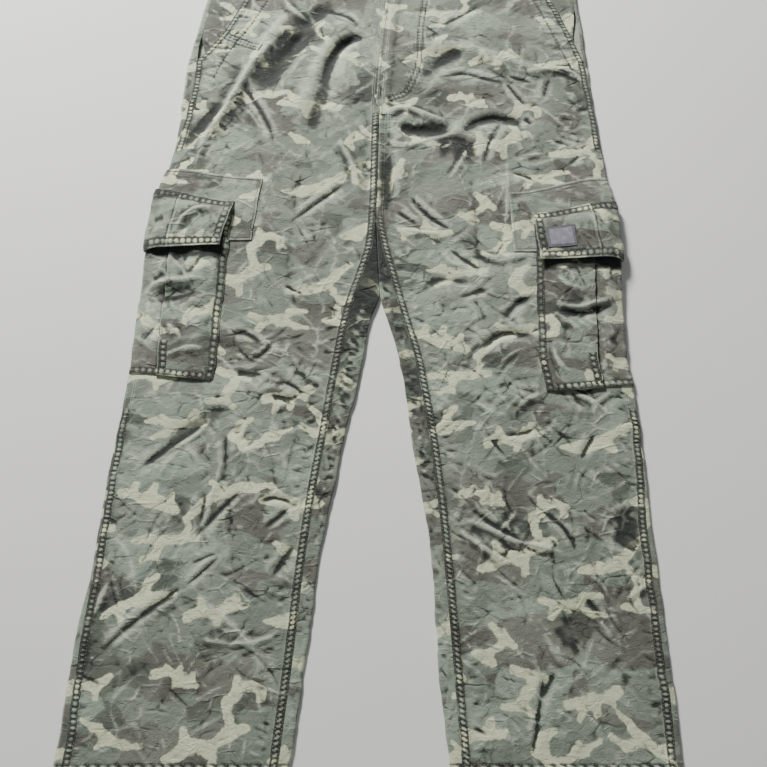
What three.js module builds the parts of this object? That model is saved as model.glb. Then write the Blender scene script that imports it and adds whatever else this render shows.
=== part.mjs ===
// Cargo pants laid out on their back, front side up, in millimetres.
// +X is to the right of someone looking down at the front, +Y points to the waist, +Z is up.
// Each leg is a flattened ring: a "skin" that runs over the top, round the inner and outer folds and
// under the leg. Every piece is a wall made from points of that skin, moved out or in by a lift.
import * as THREE from "three";

// Driving dimensions
const WALL = 1.2; // twill, one layer
const SEAM_GAP = 0.3; // between pieces that meet at a seam
const CLEAR = 0.55; // between a panel and what lies on it
const FELL_WIDTH = 9; // felled seam, double stitched
const FELL_RISE = 0.7; // how far its extra layers stand proud
const FELL_SLOPE = 1.5;
const HEM_DEPTH = 18;
const HEM_EXTRA = 0.5; // the turned-in hem allowance
const WAIST_TOP = 626;
const WAIST_SEAM = 586;
const CROTCH = 217;
const HEM = -424;
const CAP_RATIO = 0.62; // half width of a rounded fold edge, as a share of the garment's thickness
const CAP_ARC = 1.25; // length along a fold edge, for each mm of its half width
const EDGE_FALL = 0.3; // share of the thickness lost towards a fold edge
const EDGE_REACH = 9;
const LEAST_SPACE = 2.9; // two walls and a little air, in the deepest trough
const SETTLE_REACH = 34; // folds die out this far from a fold edge
const CALM_WAIST = 60; // and this far from the waist seam and the hem
const CALM_HEM = 50;
const NORMAL_STEP = 0.6; // half the distance over which the skin's slope is read
const FOLD_MIN_WIDTH = 12; // narrower creases are finer than this model's grid

// One row for each cross-section: y, then x of the outer fold edges, the centre seam or the middle of
// the fork, the inner fold edges, the inseams, the inset of the outseams from the outer edges, and loft,
// the height of the top layer above the bottom.
const SECTION_COLUMNS = ["y", "outL", "outR", "mid", "inL", "inR", "seamL", "seamR", "sideL", "sideR", "loft"];
const SECTIONS = [
  [626, -236, 262, 13, 12.7, 13.3, 12.7, 13.3, 6, 5, 6.2],
  [586, -238, 264, 12, 11.7, 12.3, 11.7, 12.3, 6, 5, 6.2],
  [530, -249, 268.5, 6.5, 6.2, 6.8, 6.2, 6.8, 7.5, 5, 6.2],
  [475, -258, 271.5, 1.5, 1.2, 1.8, 1.2, 1.8, 10, 5, 6.2],
  [435, -264, 273, -1.5, -1.8, -1.2, -1.8, -1.2, 14, 3.5, 6.2],
  [395, -266, 276, -4, -4.3, -3.7, -4.3, -3.7, 12, 1.5, 6.2],
  [350, -266.5, 278.5, -6, -6.3, -5.7, -6.3, -5.7, 6, 1, 6.2],
  [300, -272, 281.5, -7, -7.3, -6.7, -7.3, -6.7, 1.5, 1, 6.2],
  [250, -283, 286, -8.2, -8.5, -7.9, -8.5, -7.9, 1, 1, 6.1],
  [217, -287, 288, -9.4, -9.7, -9.1, -12.5, -6.3, 1, 1, 6.1],
  [176, -290, 289.5, -7.8, -8.1, -7.5, -17.5, 1, 1, 1, 6],
  [140, -291.5, 289, -6, -6.3, -5.7, -26.5, 7.5, 1, 1, 6],
  [107, -293.5, 287, -4.6, -5.6, -3.6, -35, 16, 1, 1, 5.9],
  [74, -295, 286.5, -5, -18, 6.5, -43, 25, 1, 1, 5.8],
  [35, -296, 286, -3, -23, 17, -50, 36, 1, 1, 5.7],
  [0, -299, 290, -2, -29, 23.5, -56, 42.5, 1, 1, 5.6],
  [-50, -305.5, 295, -5, -41, 29.5, -63.5, 50.5, 1, 1.5, 5.5],
  [-110, -311.5, 296.5, -7, -53, 39, -73.5, 58, 3, 3.5, 5.3],
  [-165, -314.5, 297.5, -8, -64, 48.5, -81.5, 63.5, 3, 5.5, 5.2],
  [-220, -318.5, 299.5, -9, -72.5, 53.5, -88, 67.5, 3.5, 7, 5.1],
  [-270, -326, 300.5, -10, -78, 56, -92.5, 71, 6.5, 6.5, 5],
  [-322, -330.5, 303, -12, -84, 58.5, -97.5, 74.5, 7.5, 6.5, 4.9],
  [-371, -332.5, 304, -13, -90, 63, -103, 77.5, 9, 6.5, 5.4],
  [-424, -337.5, 305.5, -14, -98, 69, -108.5, 81, 11, 7, 6.2],
].map((row) => Object.fromEntries(row.map((value, k) => [SECTION_COLUMNS[k], value])));

// Broad swells of the top layer: centre, reach along x and y, height.
const SWELLS = [
  { x: 60, y: 400, rx: 150, ry: 120, rise: 6.5 },
  { x: -110, y: 420, rx: 105, ry: 130, rise: 6 },
  { x: 150, y: 250, rx: 100, ry: 90, rise: 2.5 },
  { x: -120, y: 150, rx: 70, ry: 110, rise: 2.5 },
  { x: 100, y: 30, rx: 70, ry: 120, rise: 2.5 },
  { x: 190, y: -120, rx: 90, ry: 80, rise: 3 },
  { x: -190, y: -110, rx: 90, ry: 90, rise: 2.5 },
  { x: 190, y: -300, rx: 90, ry: 70, rise: 2 },
  { x: -210, y: -290, rx: 90, ry: 70, rise: 2 },
];

// The largest folds: points they run through, half width, and rise (below zero for a trough).
const FOLDS = [
  { path: [[-118, 548], [-169, 458], [-204, 383], [-230, 332]], width: 13, rise: 5.5 },
  { path: [[-55, 566], [-118, 458], [-168, 398]], width: 17, rise: -5 },
  { path: [[-16, 542], [-47, 492], [-68, 434], [-98, 371], [-112, 318]], width: 13, rise: 3.5 },
  { path: [[-21, 489], [-54, 462], [-74, 403], [-90, 341]], width: 10, rise: -4.5 },
  { path: [[-13, 382], [-12, 296], [-13, 223]], width: 9, rise: 2.5 },
  { path: [[3, 379], [5, 289], [2, 223]], width: 9, rise: -3.5 },
  { path: [[30, 351], [75, 353]], width: 13, rise: -9 },
  { path: [[4, 376], [38, 389], [78, 373], [108, 376]], width: 10, rise: 3.5 },
  { path: [[6, 351], [29, 330], [78, 333], [108, 348]], width: 10, rise: 3.5 },
  { path: [[121, 353], [152, 368], [190, 359]], width: 10, rise: -6 },
  { path: [[20, 475], [90, 475], [148, 459], [213, 433], [236, 434]], width: 11, rise: 3.5 },
  { path: [[50, 423], [83, 453], [106, 466]], width: 11, rise: -3.5 },
  { path: [[90, 318], [146, 306]], width: 19, rise: -4 },
  { path: [[262, -153], [271, -188]], width: 17, rise: -4 },
  { path: [[189, -293], [227, -254]], width: 19, rise: -3.5 },
  { path: [[-173, -24], [-207, -47], [-277, -100]], width: 12, rise: -3 },
];

// Cargo pocket sizes. "In" is at a layer's inner edge and "Out" at the leg's outer fold edge;
// reach is the distance from that fold edge. drop is how much lower the right pocket sits.
const POCKETS = {
  L: {
    patch: { topIn: 272, topOut: 287, lowIn: 187, lowOut: 187, reachTop: 128, reachLow: 128 },
    flap: { topIn: 240.5, topOut: 256.5, lowIn: 176.5, lowOut: 171.5, reachTop: 100, reachLow: 91 },
    bag: { topIn: 221, topOut: 221, lowIn: 4, lowOut: 12.5, reachTop: 100, reachLow: 100 },
    pleatTop: 30,
    pleatLow: 33,
    drop: 0,
  },
  R: {
    patch: { topIn: 250, topOut: 275, lowIn: 171, lowOut: 171, reachTop: 130, reachLow: 130 },
    flap: { topIn: 222.5, topOut: 240, lowIn: 157, lowOut: 161, reachTop: 104, reachLow: 100 },
    bag: { topIn: 205, topOut: 205, lowIn: -10, lowOut: -3, reachTop: 103, reachLow: 103 },
    pleatTop: 33,
    pleatLow: 36,
    drop: -16,
  },
};
const PATCH_UNDER = 104; // how far each layer goes on under the leg
const FLAP_UNDER = 80;
const BAG_UNDER = 86;
const BAG_WALL = 1;
const BAG_PUFF = 1.6; // how far the bag bulges halfway down
const BAG_LAYER = BAG_WALL + SEAM_GAP; // from one layer of the pleat to the next
const PLEAT_DEPTH = 12;
const PLEAT_LEAD = 6; // flat cloth beside the pleat
const PATCH_STEP = { from: -24, to: -3 }; // where the bag climbs onto the patch, from the patch's low edge
const FLAP_WALL = 1.6;
const FLAP_SLACK = 2.4; // air between the pleat and the flap
const FLAP_CLIMB = 0.3; // share of the flap's height over which it climbs onto the bag
const TAG = { reachFrom: 86, reachTo: 52, from: 0.26, to: 0.72, wall: 0.6 };

// How far the layers of a cargo pocket hold the leg off the surface: the bag alone, then the rest of the
// stack under the flap. Each rises and falls between two heights up the left leg.
const BEDS = [
  { high: 1.7, riseFrom: -60, riseTo: -14, fallFrom: 286, fallTo: 340 },
  { high: 3.9, riseFrom: 96, riseTo: 162, fallFrom: 257, fallTo: 300 },
];
const BED_FULL = 134; // distance from the outer fold edge where that stack ends, and where it has faded
const BED_NONE = 174;
const WAIST_BED = 0.9; // the waistband, thicker than the panel
const WAIST_BED_FROM = 528;
const WAIST_BED_FULL = 560;

// Slant pocket mouths: x of the edge, from the waist seam down to the outseam.
const MOUTHS = [
  { y: 586, L: -177, R: 217.5 },
  { y: 536, L: -199, R: 237.5 },
  { y: 498, L: -216, R: 252 },
  { y: 470, L: -235, R: 261.5 },
  { y: 452, L: -249.5, R: 267.5 },
];
const MOUTH_END = 452;
const FACING_WALL = 1;
const FACING_END = 424;
const FACING_LAP = 18; // how far the pocket facing goes on under the front
const FACING_TUCK = 10; // and how far from the outseam it starts, below the mouth

// The fly: the right front laps over the left one down to its end, and settles beside it below.
const FLY_SIDE = "R";
const FLY_LAP = 5;
const FLY_END = 380;
const FLY_SETTLE = 364;
const HIDDEN_SEAM = { from: 310, to: -30 }; // the outseam lies flat behind the cargo pocket

// The waistband's wall, out of the skin and into it, and how far its ends lap at the fly.
const BAND_OUT = 0.8;
const BAND_IN = 1.2;
const UNDER_LAP = 24;
const OVER_LAP = 3;
const BUTTON = { radius: 8.5, thick: 3, edge: 0.8, rim: 1.5, dish: 0.9, fromEnd: 14, sides: 20 };

// Rows and columns of the panels.
const HALF_TURN = 5; // columns round an outer fold edge
const OVER_BED = 6; // columns from a front's felled outer seam to where the bed starts to fade
const PAST_BED = 5; // columns from where the bed has faded to the felled inner seam
const UNDER_SEAM = 9; // the columns that go round the inner fold gather by the seam above the crotch

const smooth = (low, high, x) => {
  const t = Math.min(1, Math.max(0, (x - low) / (high - low)));
  return t * t * (3 - 2 * t);
};
const mix = (a, b, t) => a + (b - a) * t;
const clamp = (x) => Math.min(1, Math.max(0, x));
const spread = (a, b, count) => Array.from({ length: count }, (_, i) => mix(a, b, i / (count - 1)));

// Heights of the panels' rows, from the waist seam to the hem.
const ROWS = [
  ...spread(WAIST_SEAM - SEAM_GAP, MOUTH_END, 8),
  ...spread(436, 388, 4),
  ...spread(372, 232, 9),
  ...spread(CROTCH - 3, 120, 6),
  ...spread(98, HEM + HEM_DEPTH + FELL_SLOPE, 17),
  HEM + HEM_DEPTH,
  HEM,
];

// Reads a column of a table with rows of falling y, as a smooth curve through its values.
function along(rows, column, y) {
  const at = Math.min(Math.max(rows.findIndex((r) => r.y <= y), 1), rows.length - 1);
  const i = rows[rows.length - 1].y > y ? rows.length - 1 : at;
  const slope = (k) => {
    const a = rows[Math.max(k - 1, 0)];
    const b = rows[Math.min(k + 1, rows.length - 1)];
    return (b[column] - a[column]) / (b.y - a.y);
  };
  const [p, q] = [rows[i - 1], rows[i]];
  const h = q.y - p.y;
  const t = clamp((y - p.y) / h);
  const [t2, t3] = [t * t, t * t * t];
  return (
    (2 * t3 - 3 * t2 + 1) * p[column] + (t3 - 2 * t2 + t) * h * slope(i - 1) +
    (3 * t2 - 2 * t3) * q[column] + (t3 - t2) * h * slope(i)
  );
}

// Reads a column in straight steps.
function stepped(rows, column, y) {
  if (y >= rows[0].y) return rows[0][column];
  const i = rows.findIndex((r) => r.y <= y);
  if (i < 0) return rows[rows.length - 1][column];
  return mix(rows[i - 1][column], rows[i][column], (y - rows[i - 1].y) / (rows[i].y - rows[i - 1].y));
}

// Distance from a point to a fold's path.
function pathDistance(path, x, y) {
  let best = Infinity;
  for (let i = 1; i < path.length; i++) {
    const [ax, ay] = path[i - 1];
    const [bx, by] = path[i];
    const [dx, dy] = [bx - ax, by - ay];
    const t = clamp(((x - ax) * dx + (y - ay) * dy) / (dx * dx + dy * dy));
    best = Math.min(best, Math.hypot(x - ax - dx * t, y - ay - dy * t));
  }
  return best;
}

// A leg: its side letter, and the way from its outer fold edge towards the middle.
const LEGS = [{ side: "L", name: "left", dir: 1 }, { side: "R", name: "right", dir: -1 }];
const outerEdge = (leg, y) => along(SECTIONS, "out" + leg.side, y);
const innerEdge = (leg, y) => along(SECTIONS, "in" + leg.side, y);
const inseam = (leg, y) => along(SECTIONS, "seam" + leg.side, y);
const sideInset = (leg, y) => along(SECTIONS, "side" + leg.side, y);
const centre = (y) => along(SECTIONS, "mid", y);
const mouthEdge = (leg, y) => stepped(MOUTHS, leg.side, y);
const innerCap = (y) => mix(2, 3.6, smooth(CROTCH, 150, y)); // half width of an inner fold edge

// Height of the underside, where the pocket's and waistband's layers hold the leg up.
function bed(leg, x, y) {
  const reach = Math.abs(x - outerEdge(leg, y));
  const up = y - POCKETS[leg.side].drop;
  let pocket = 0;
  for (const b of BEDS) {
    const risen = smooth(b.riseFrom, b.riseTo, up) * (1 - smooth(b.fallFrom, b.fallTo, up));
    pocket += b.high * risen;
  }
  const waist = WAIST_BED * smooth(WAIST_BED_FROM, WAIST_BED_FULL, y);
  return Math.max(waist, pocket * clamp((BED_NONE - reach) / (BED_NONE - BED_FULL)));
}

// Height of the top layer.
function top(leg, x, y) {
  let rise = 0;
  for (const s of SWELLS) rise += s.rise * Math.exp(-(((x - s.x) / s.rx) ** 2) - ((y - s.y) / s.ry) ** 2);
  for (const f of FOLDS) {
    const width = Math.max(f.width, FOLD_MIN_WIDTH);
    rise += f.rise * Math.exp(-((pathDistance(f.path, x, y) / width) ** 2));
  }
  const calm = smooth(WAIST_SEAM, WAIST_SEAM - CALM_WAIST, y) * smooth(HEM, HEM + CALM_HEM, y);
  const fromEdge = Math.abs(x - outerEdge(leg, y));
  const fromInner = y > CROTCH ? Infinity : Math.abs(x - innerEdge(leg, y));
  const edge = Math.min(fromEdge, fromInner);
  const loft = along(SECTIONS, "loft", y);
  const fall = 1 - EDGE_FALL * Math.exp(-edge / EDGE_REACH);
  const high = loft * fall + rise * calm * smooth(0, SETTLE_REACH, edge);
  const knee = LEAST_SPACE + 1;
  return bed(leg, x, y) + (high > knee ? high : LEAST_SPACE + Math.exp(high - knee));
}

// Sizes of the ring at a station: the fold edges' half widths, and the length over the top.
function ring(leg, y) {
  const edge = outerEdge(leg, y);
  const inner = innerEdge(leg, y);
  const cap = CAP_RATIO * along(SECTIONS, "loft", y);
  const inCap = y > CROTCH ? 0 : innerCap(y);
  const width = Math.abs(inner - edge);
  const [arc, inArc] = [cap * CAP_ARC, inCap * CAP_ARC];
  return { edge, inner, cap, inCap, arc, inArc, width, over: arc + width - cap - inCap + inArc };
}

// A point of the skin with no lift. s is the distance from the outer fold edge: above zero over the top,
// below zero under the leg. Past the length over the top it goes round the inner fold edge.
function skinPoint(leg, y, s) {
  const r = ring(leg, y);
  const cap = (edge, half, dir, share) => {
    const hub = edge + dir * half;
    const high = top(leg, hub, y);
    const low = bed(leg, hub, y);
    const turn = (share * Math.PI) / 2;
    const x = hub - dir * half * Math.cos(turn);
    return new THREE.Vector3(x, y, mix(low, high, (1 + Math.sin(turn)) / 2));
  };
  if (Math.abs(s) < r.arc) return cap(r.edge, r.cap, leg.dir, s / r.arc);
  if (r.inCap && Math.abs(s - r.over) < r.inArc)
    return cap(r.inner, r.inCap, -leg.dir, (r.over - s) / r.inArc);
  const below = r.inCap && s > r.over;
  const x = below
    ? r.inner - leg.dir * (r.inCap + s - r.over - r.inArc)
    : r.edge + leg.dir * (r.cap + Math.abs(s) - r.arc);
  return new THREE.Vector3(x, y, s > 0 && !below ? top(leg, x, y) : bed(leg, x, y));
}

// A point of the skin moved out by a lift, along the skin's own normal.
function skin(leg, y, s, lift) {
  const step = NORMAL_STEP;
  const across = skinPoint(leg, y, s + step).sub(skinPoint(leg, y, s - step));
  const along = skinPoint(leg, y + step, s).sub(skinPoint(leg, y - step, s));
  const normal = across.cross(along).multiplyScalar(leg.dir).normalize();
  return skinPoint(leg, y, s).addScaledVector(normal, lift);
}

// The s of a point on the top layer, from its x or from its distance to the outer fold edge.
function topS(leg, y, x) {
  const r = ring(leg, y);
  const fromOuter = leg.dir * (x - r.edge);
  const fromInner = leg.dir * (r.inner - x);
  const share = (gap, half) => Math.acos(Math.max(-1, 1 - gap / half)) / (Math.PI / 2);
  if (fromOuter < r.cap) return share(fromOuter, r.cap) * r.arc;
  if (r.inCap && fromInner < r.inCap) return r.over - share(fromInner, r.inCap) * r.inArc;
  return r.arc + fromOuter - r.cap;
}
const reachS = (leg, y, reach) => topS(leg, y, outerEdge(leg, y) + leg.dir * reach);

// A closed wall between two grids of points, rows by columns.
function wall(outer, inner) {
  const rows = outer.length;
  const cols = outer[0].length;
  const positions = [...outer.flat(), ...inner.flat()].flatMap((p) => [p.x, p.y, p.z]);
  const at = (layer, i, j) => layer * rows * cols + i * cols + j;
  const index = [];
  const quad = (a, b, c, d) => index.push(a, b, c, a, c, d);
  for (let i = 0; i + 1 < rows; i++)
    for (let j = 0; j + 1 < cols; j++) {
      quad(at(0, i, j), at(0, i + 1, j), at(0, i + 1, j + 1), at(0, i, j + 1));
      quad(at(1, i, j), at(1, i, j + 1), at(1, i + 1, j + 1), at(1, i + 1, j));
    }
  for (let i = 0; i + 1 < rows; i++) {
    quad(at(0, i, 0), at(1, i, 0), at(1, i + 1, 0), at(0, i + 1, 0));
    quad(at(0, i, cols - 1), at(0, i + 1, cols - 1), at(1, i + 1, cols - 1), at(1, i, cols - 1));
  }
  for (let j = 0; j + 1 < cols; j++) {
    quad(at(0, 0, j), at(0, 0, j + 1), at(1, 0, j + 1), at(1, 0, j));
    quad(at(0, rows - 1, j), at(1, rows - 1, j), at(1, rows - 1, j + 1), at(0, rows - 1, j + 1));
  }
  return facingOut(positions, index);
}

// Builds the geometry, with its faces turned outwards.
function facingOut(positions, index) {
  const p = (k) => new THREE.Vector3(...positions.slice(3 * k, 3 * k + 3));
  let volume = 0;
  for (let i = 0; i < index.length; i += 3)
    volume += p(index[i]).dot(p(index[i + 1]).cross(p(index[i + 2])));
  if (volume < 0) index.reverse();
  const geometry = new THREE.BufferGeometry();
  geometry.setAttribute("position", new THREE.Float32BufferAttribute(positions, 3));
  geometry.setIndex(index);
  return geometry;
}

const cloth = (colour) => new THREE.MeshStandardMaterial({ color: colour, roughness: 0.92, metalness: 0 });
const CAMO = cloth(0x8b9484);
const CAMO_DARK = cloth(0x747c70);
const LABEL = cloth(0xa9a6b8);
const BRASS = new THREE.MeshStandardMaterial({ color: 0x6f675a, roughness: 0.4, metalness: 0.9 });

const garment = new THREE.Group();
function piece(name, geometry, material) {
  const mesh = new THREE.Mesh(geometry, material);
  mesh.name = name;
  garment.add(mesh);
}

// The columns of a front panel's row: x, how far the felled seams stand proud, and how far the fly's lap
// lifts the whole wall.
function frontColumns(leg, y) {
  const edge = outerEdge(leg, y);
  const overLap = leg.side === FLY_SIDE && y > FLY_END;
  const outer = y > MOUTH_END ? mouthEdge(leg, y) : edge + leg.dir * sideInset(leg, y);
  const inner = overLap ? centre(y) + leg.dir * FLY_LAP : inseam(leg, y);
  const hidden = y <= HIDDEN_SEAM.from && y >= HIDDEN_SEAM.to;
  const inFly = y > FLY_SETTLE;
  const lap = inFly && leg.side === FLY_SIDE ? WALL + CLEAR : 0;
  const fell = (from, dir, rise, lift) => [
    { x: from, rise, lift },
    { x: from + dir * FELL_WIDTH, rise, lift },
    { x: from + dir * (FELL_WIDTH + FELL_SLOPE), rise: 0, lift: 0 },
  ];
  const start = fell(outer, leg.dir, hidden ? 0 : FELL_RISE, 0);
  const end = fell(inner, -leg.dir, inFly ? 0 : FELL_RISE, lap).reverse();
  const [full, none] = [edge + leg.dir * BED_FULL, edge + leg.dir * BED_NONE];
  const between = [
    ...spread(start[2].x, full, OVER_BED).slice(1),
    (full + none) / 2,
    ...spread(none, end[0].x, PAST_BED).slice(0, -1),
  ];
  return [...start, ...between.map((x) => ({ x, rise: 0, lift: 0 })), ...end];
}

const hemExtra = (y) => (y <= HEM + HEM_DEPTH ? HEM_EXTRA : 0);

// Front leg panel: from the outseam, or the pocket mouth above it, to the centre seam or inseam.
function front(leg) {
  const grid = (outside) =>
    ROWS.map((y) =>
      frontColumns(leg, y).map(({ x, rise, lift }) =>
        skin(leg, y, topS(leg, y, x), lift + (outside ? rise : -WALL - hemExtra(y))),
      ),
    );
  piece("front_" + leg.name, wall(grid(true), grid(false)), CAMO);
}

// Columns of a back panel's row. Above the crotch they end at the centre back seam, underneath. Below it
// they go on round the inner fold edge and up to the inseam.
function backStations(leg, y) {
  const r = ring(leg, y);
  const side = reachS(leg, y, sideInset(leg, y)) - SEAM_GAP;
  const flatTo = r.arc + r.width - r.cap - (r.inCap || SEAM_GAP);
  const under = (reach) => -(r.arc + reach - r.cap);
  const start = [side, 0, -r.arc / 2, ...spread(-r.arc, under(BED_FULL), 4), under(BED_NONE)];
  if (!r.inCap) return [...start, ...spread(UNDER_SEAM - flatTo, -flatTo, 7)];
  const seam = topS(leg, y, inseam(leg, y) + leg.dir * SEAM_GAP);
  const turned = r.over - r.inArc;
  return [...start, -flatTo, ...spread(r.over + r.inArc, turned, 4), mix(turned, seam, 0.5), seam];
}

// Back leg panel: from the outseam round the outer fold edge and under the leg.
function back(leg) {
  const grid = (outside) =>
    ROWS.map((y) =>
      backStations(leg, y).map((s) => skin(leg, y, s, outside ? 0 : -WALL - hemExtra(y))),
    );
  piece("back_" + leg.name, wall(grid(true), grid(false)), CAMO_DARK);
}

// A place on a pocket's layer: v is 0 at its top edge and 1 at its low edge, and s is as for the skin.
const layerReach = (layer, v) => mix(layer.reachTop, layer.reachLow, v);
function layerY(layer, v, s) {
  const out = smooth(layerReach(layer, v), 0, s);
  return mix(mix(layer.topIn, layer.topOut, out), mix(layer.lowIn, layer.lowOut, out), v);
}

// Columns of a layer that lies over the top, round the outer fold edge and under the leg.
function layerStations(leg, layer, v, under, onTop, below) {
  const y = mix(layer.topIn, layer.lowIn, v);
  const { arc } = ring(leg, y);
  return [
    ...spread(reachS(leg, y, layerReach(layer, v)), arc, onTop),
    ...spread(arc, -arc, HALF_TURN).slice(1),
    ...spread(-arc, -under, below).slice(1),
  ];
}

// The backing patch behind each cargo pocket.
function patch(leg) {
  const layer = POCKETS[leg.side].patch;
  const grid = (lift) =>
    spread(0, 1, 6).map((v) =>
      layerStations(leg, layer, v, PATCH_UNDER, 7, 5).map((s) => skin(leg, layerY(layer, v, s), s, lift)),
    );
  piece("patch_" + leg.name, wall(grid(CLEAR + WALL), grid(CLEAR)), CAMO);
}

// A row of the pocket bag, as the middle of its wall: s and lift. From its inner edge it climbs to the
// pleat, folds back under itself and forward again, and goes on round the leg.
function bagLine(leg, y, v) {
  const p = POCKETS[leg.side];
  const inner = reachS(leg, y, layerReach(p.bag, v));
  const pleat = reachS(leg, y, mix(p.pleatTop, p.pleatLow, v));
  const deep = pleat + PLEAT_DEPTH;
  const { arc } = ring(leg, y);
  const puff = BAG_PUFF * Math.sin(Math.PI * v) ** 0.7;
  const high = 2 * BAG_LAYER;
  const climb = [0, 0.55 * high + puff, high + puff, 1.15 * high + puff, 1.08 * high];
  return [
    ...spread(inner, deep + PLEAT_LEAD, climb.length).map((s, k) => [s, climb[k]]),
    [pleat + PLEAT_LEAD, high],
    [pleat, high],
    [pleat - BAG_LAYER / 2, 1.5 * BAG_LAYER],
    [pleat, BAG_LAYER],
    [deep, BAG_LAYER],
    [deep + BAG_LAYER / 2, 0.5 * BAG_LAYER],
    [deep, 0],
    [pleat - 2, 0],
    [mix(pleat, arc, 0.5), 0.5 * puff],
    ...spread(arc, -arc, HALF_TURN).map((s) => [s, 0]),
    ...spread(-arc, -BAG_UNDER, 5).slice(1).map((s) => [s, 0]),
  ];
}

// The pocket bag, thickened to both sides of its rows. Its upper end lies on the patch.
function bag(leg) {
  const { bag: layer, patch: lower } = POCKETS[leg.side];
  const step = [lower.lowIn + PATCH_STEP.from, lower.lowIn + PATCH_STEP.to];
  const rows = [...spread(layer.topIn, step[1], 3), ...spread(step[0], layer.lowIn, 8)];
  const grid = (side) =>
    rows.map((row) => {
      const v = (layer.topIn - row) / (layer.topIn - layer.lowIn);
      const line = bagLine(leg, row, v);
      return line.map(([s, lift], k) => {
        const [a, b] = [line[Math.max(k - 1, 0)], line[Math.min(k + 1, line.length - 1)]];
        const half = (side * BAG_WALL) / 2 / Math.hypot(b[0] - a[0], b[1] - a[1]);
        const y = layerY(layer, v, s);
        const base = CLEAR + BAG_WALL / 2 + (WALL + CLEAR) * smooth(...step, y);
        return skin(leg, y, s + (b[1] - a[1]) * half, base + lift - (b[0] - a[0]) * half);
      });
    });
  piece("cargo_pocket_" + leg.name, wall(grid(1), grid(-1)), CAMO);
}

// Lift of the flap's inside: sewn down at its top edge, then over the bag and its pleat.
function flapLift(v, s) {
  const onTop = smooth(0, 20, s);
  const sewn = (BAG_WALL + CLEAR) * (1 - smooth(0, 0.2, v));
  const climb = (2 * BAG_LAYER + FLAP_SLACK) * smooth(0, FLAP_CLIMB, v);
  return WALL + BAG_WALL + 3 * CLEAR + onTop * (climb - sewn);
}

function flap(leg) {
  const layer = POCKETS[leg.side].flap;
  const grid = (lift) =>
    spread(0, 1, 7).map((v) =>
      layerStations(leg, layer, v, FLAP_UNDER, 7, 4).map((s) =>
        skin(leg, layerY(layer, v, s), s, flapLift(v, s) + lift),
      ),
    );
  piece("cargo_flap_" + leg.name, wall(grid(FLAP_WALL), grid(0)), CAMO);
}

// A plain woven tag, sewn to a flap.
function tag(leg) {
  const layer = POCKETS[leg.side].flap;
  const grid = (lift) =>
    spread(TAG.from, TAG.to, 4).map((v) =>
      spread(TAG.reachFrom, TAG.reachTo, 5).map((reach) => {
        const s = reachS(leg, mix(layer.topIn, layer.lowIn, v), reach);
        return skin(leg, layerY(layer, v, s), s, flapLift(v, s) + FLAP_WALL + SEAM_GAP + lift);
      }),
    );
  piece("flap_tag", wall(grid(TAG.wall), grid(0)), LABEL);
}

// The pocket facing: it shows in the slant mouth, goes on under the front, and below the mouth lies
// wholly under it.
function facing(leg) {
  const deep = WALL + 2 * CLEAR;
  const grid = (lift) =>
    ROWS.filter((y) => y > FACING_END).map((y) => {
      const seam = outerEdge(leg, y) + leg.dir * sideInset(leg, y);
      const mouth = mouthEdge(leg, Math.max(y, MOUTH_END));
      const shown = smooth(8, 30, Math.abs(mouth - seam));
      const outer = seam + leg.dir * mix(FACING_TUCK, 0, shown);
      return spread(0, 1, 6).map((u) => {
        const x = mix(outer, mouth + leg.dir * FACING_LAP, u);
        return skin(leg, y, topS(leg, y, x), lift - deep * mix(1, smooth(0, 0.4, u), shown));
      });
    });
  piece("pocket_facing_" + leg.name, wall(grid(0), grid(-FACING_WALL)), CAMO_DARK);
}

// The waistband: one strip from its under end, round the left, the back and the right, to its over end.
const BAND_MIDDLE = (WAIST_TOP + WAIST_SEAM) / 2;
function waistband() {
  const y = BAND_MIDDLE;
  const middle = centre(y);
  const underLift = -(BAND_OUT + BAND_IN + SEAM_GAP);
  const over = (leg, x, lift = 0) => ({ leg, s: topS(leg, y, x), lift });
  const at = (leg, s) => ({ leg, s, lift: 0 });
  const round = (leg, sign) => spread(ring(leg, y).arc, -ring(leg, y).arc, 6).map((s) => at(leg, sign * s));
  const [left, right] = LEGS;
  const stations = [
    ...spread(middle + UNDER_LAP, middle, 3).map((x) => over(right, x, underLift)),
    over(left, middle - 2 * OVER_LAP, underLift),
    ...spread(middle - 26, -200, 6).map((x) => over(left, x)),
    ...round(left, 1),
    ...spread(-60, 12 - ring(left, y).over, 4).map((s) => at(left, s)),
    ...spread(12 - ring(right, y).over, -60, 4).map((s) => at(right, s)),
    ...round(right, -1),
    ...spread(220, middle + 12, 5).map((x) => over(right, x)),
    over(left, middle - OVER_LAP),
  ];
  const grid = (out) =>
    spread(WAIST_TOP, WAIST_SEAM, 4).map((row) =>
      stations.map(({ leg, s, lift }) => skin(leg, row, s, lift + out)),
    );
  piece("waistband", wall(grid(BAND_OUT), grid(-BAND_IN)), CAMO);
}

// The waist button: a dished disc with a rolled rim, on the over end of the band.
function button(leg) {
  const { radius, thick, edge, rim, dish, fromEnd, sides } = BUTTON;
  const profile = [
    [0, 0],
    [radius - edge, 0],
    [radius, edge],
    [radius, thick - edge],
    [radius - edge, thick],
    [radius - rim, thick - edge / 4],
    [radius - rim - edge, thick - dish],
    [0, thick - dish + edge / 3],
  ];
  const geometry = new THREE.LatheGeometry(profile.map(([r, z]) => new THREE.Vector2(r, z)), sides);
  geometry.deleteAttribute("uv");
  geometry.deleteAttribute("normal");
  geometry.rotateX(Math.PI / 2);
  const x = centre(BAND_MIDDLE) - OVER_LAP + fromEnd;
  const seat = skin(leg, BAND_MIDDLE, topS(leg, BAND_MIDDLE, x), BAND_OUT + SEAM_GAP);
  geometry.translate(seat.x, seat.y, seat.z);
  piece("waist_button", geometry, BRASS);
}

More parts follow.
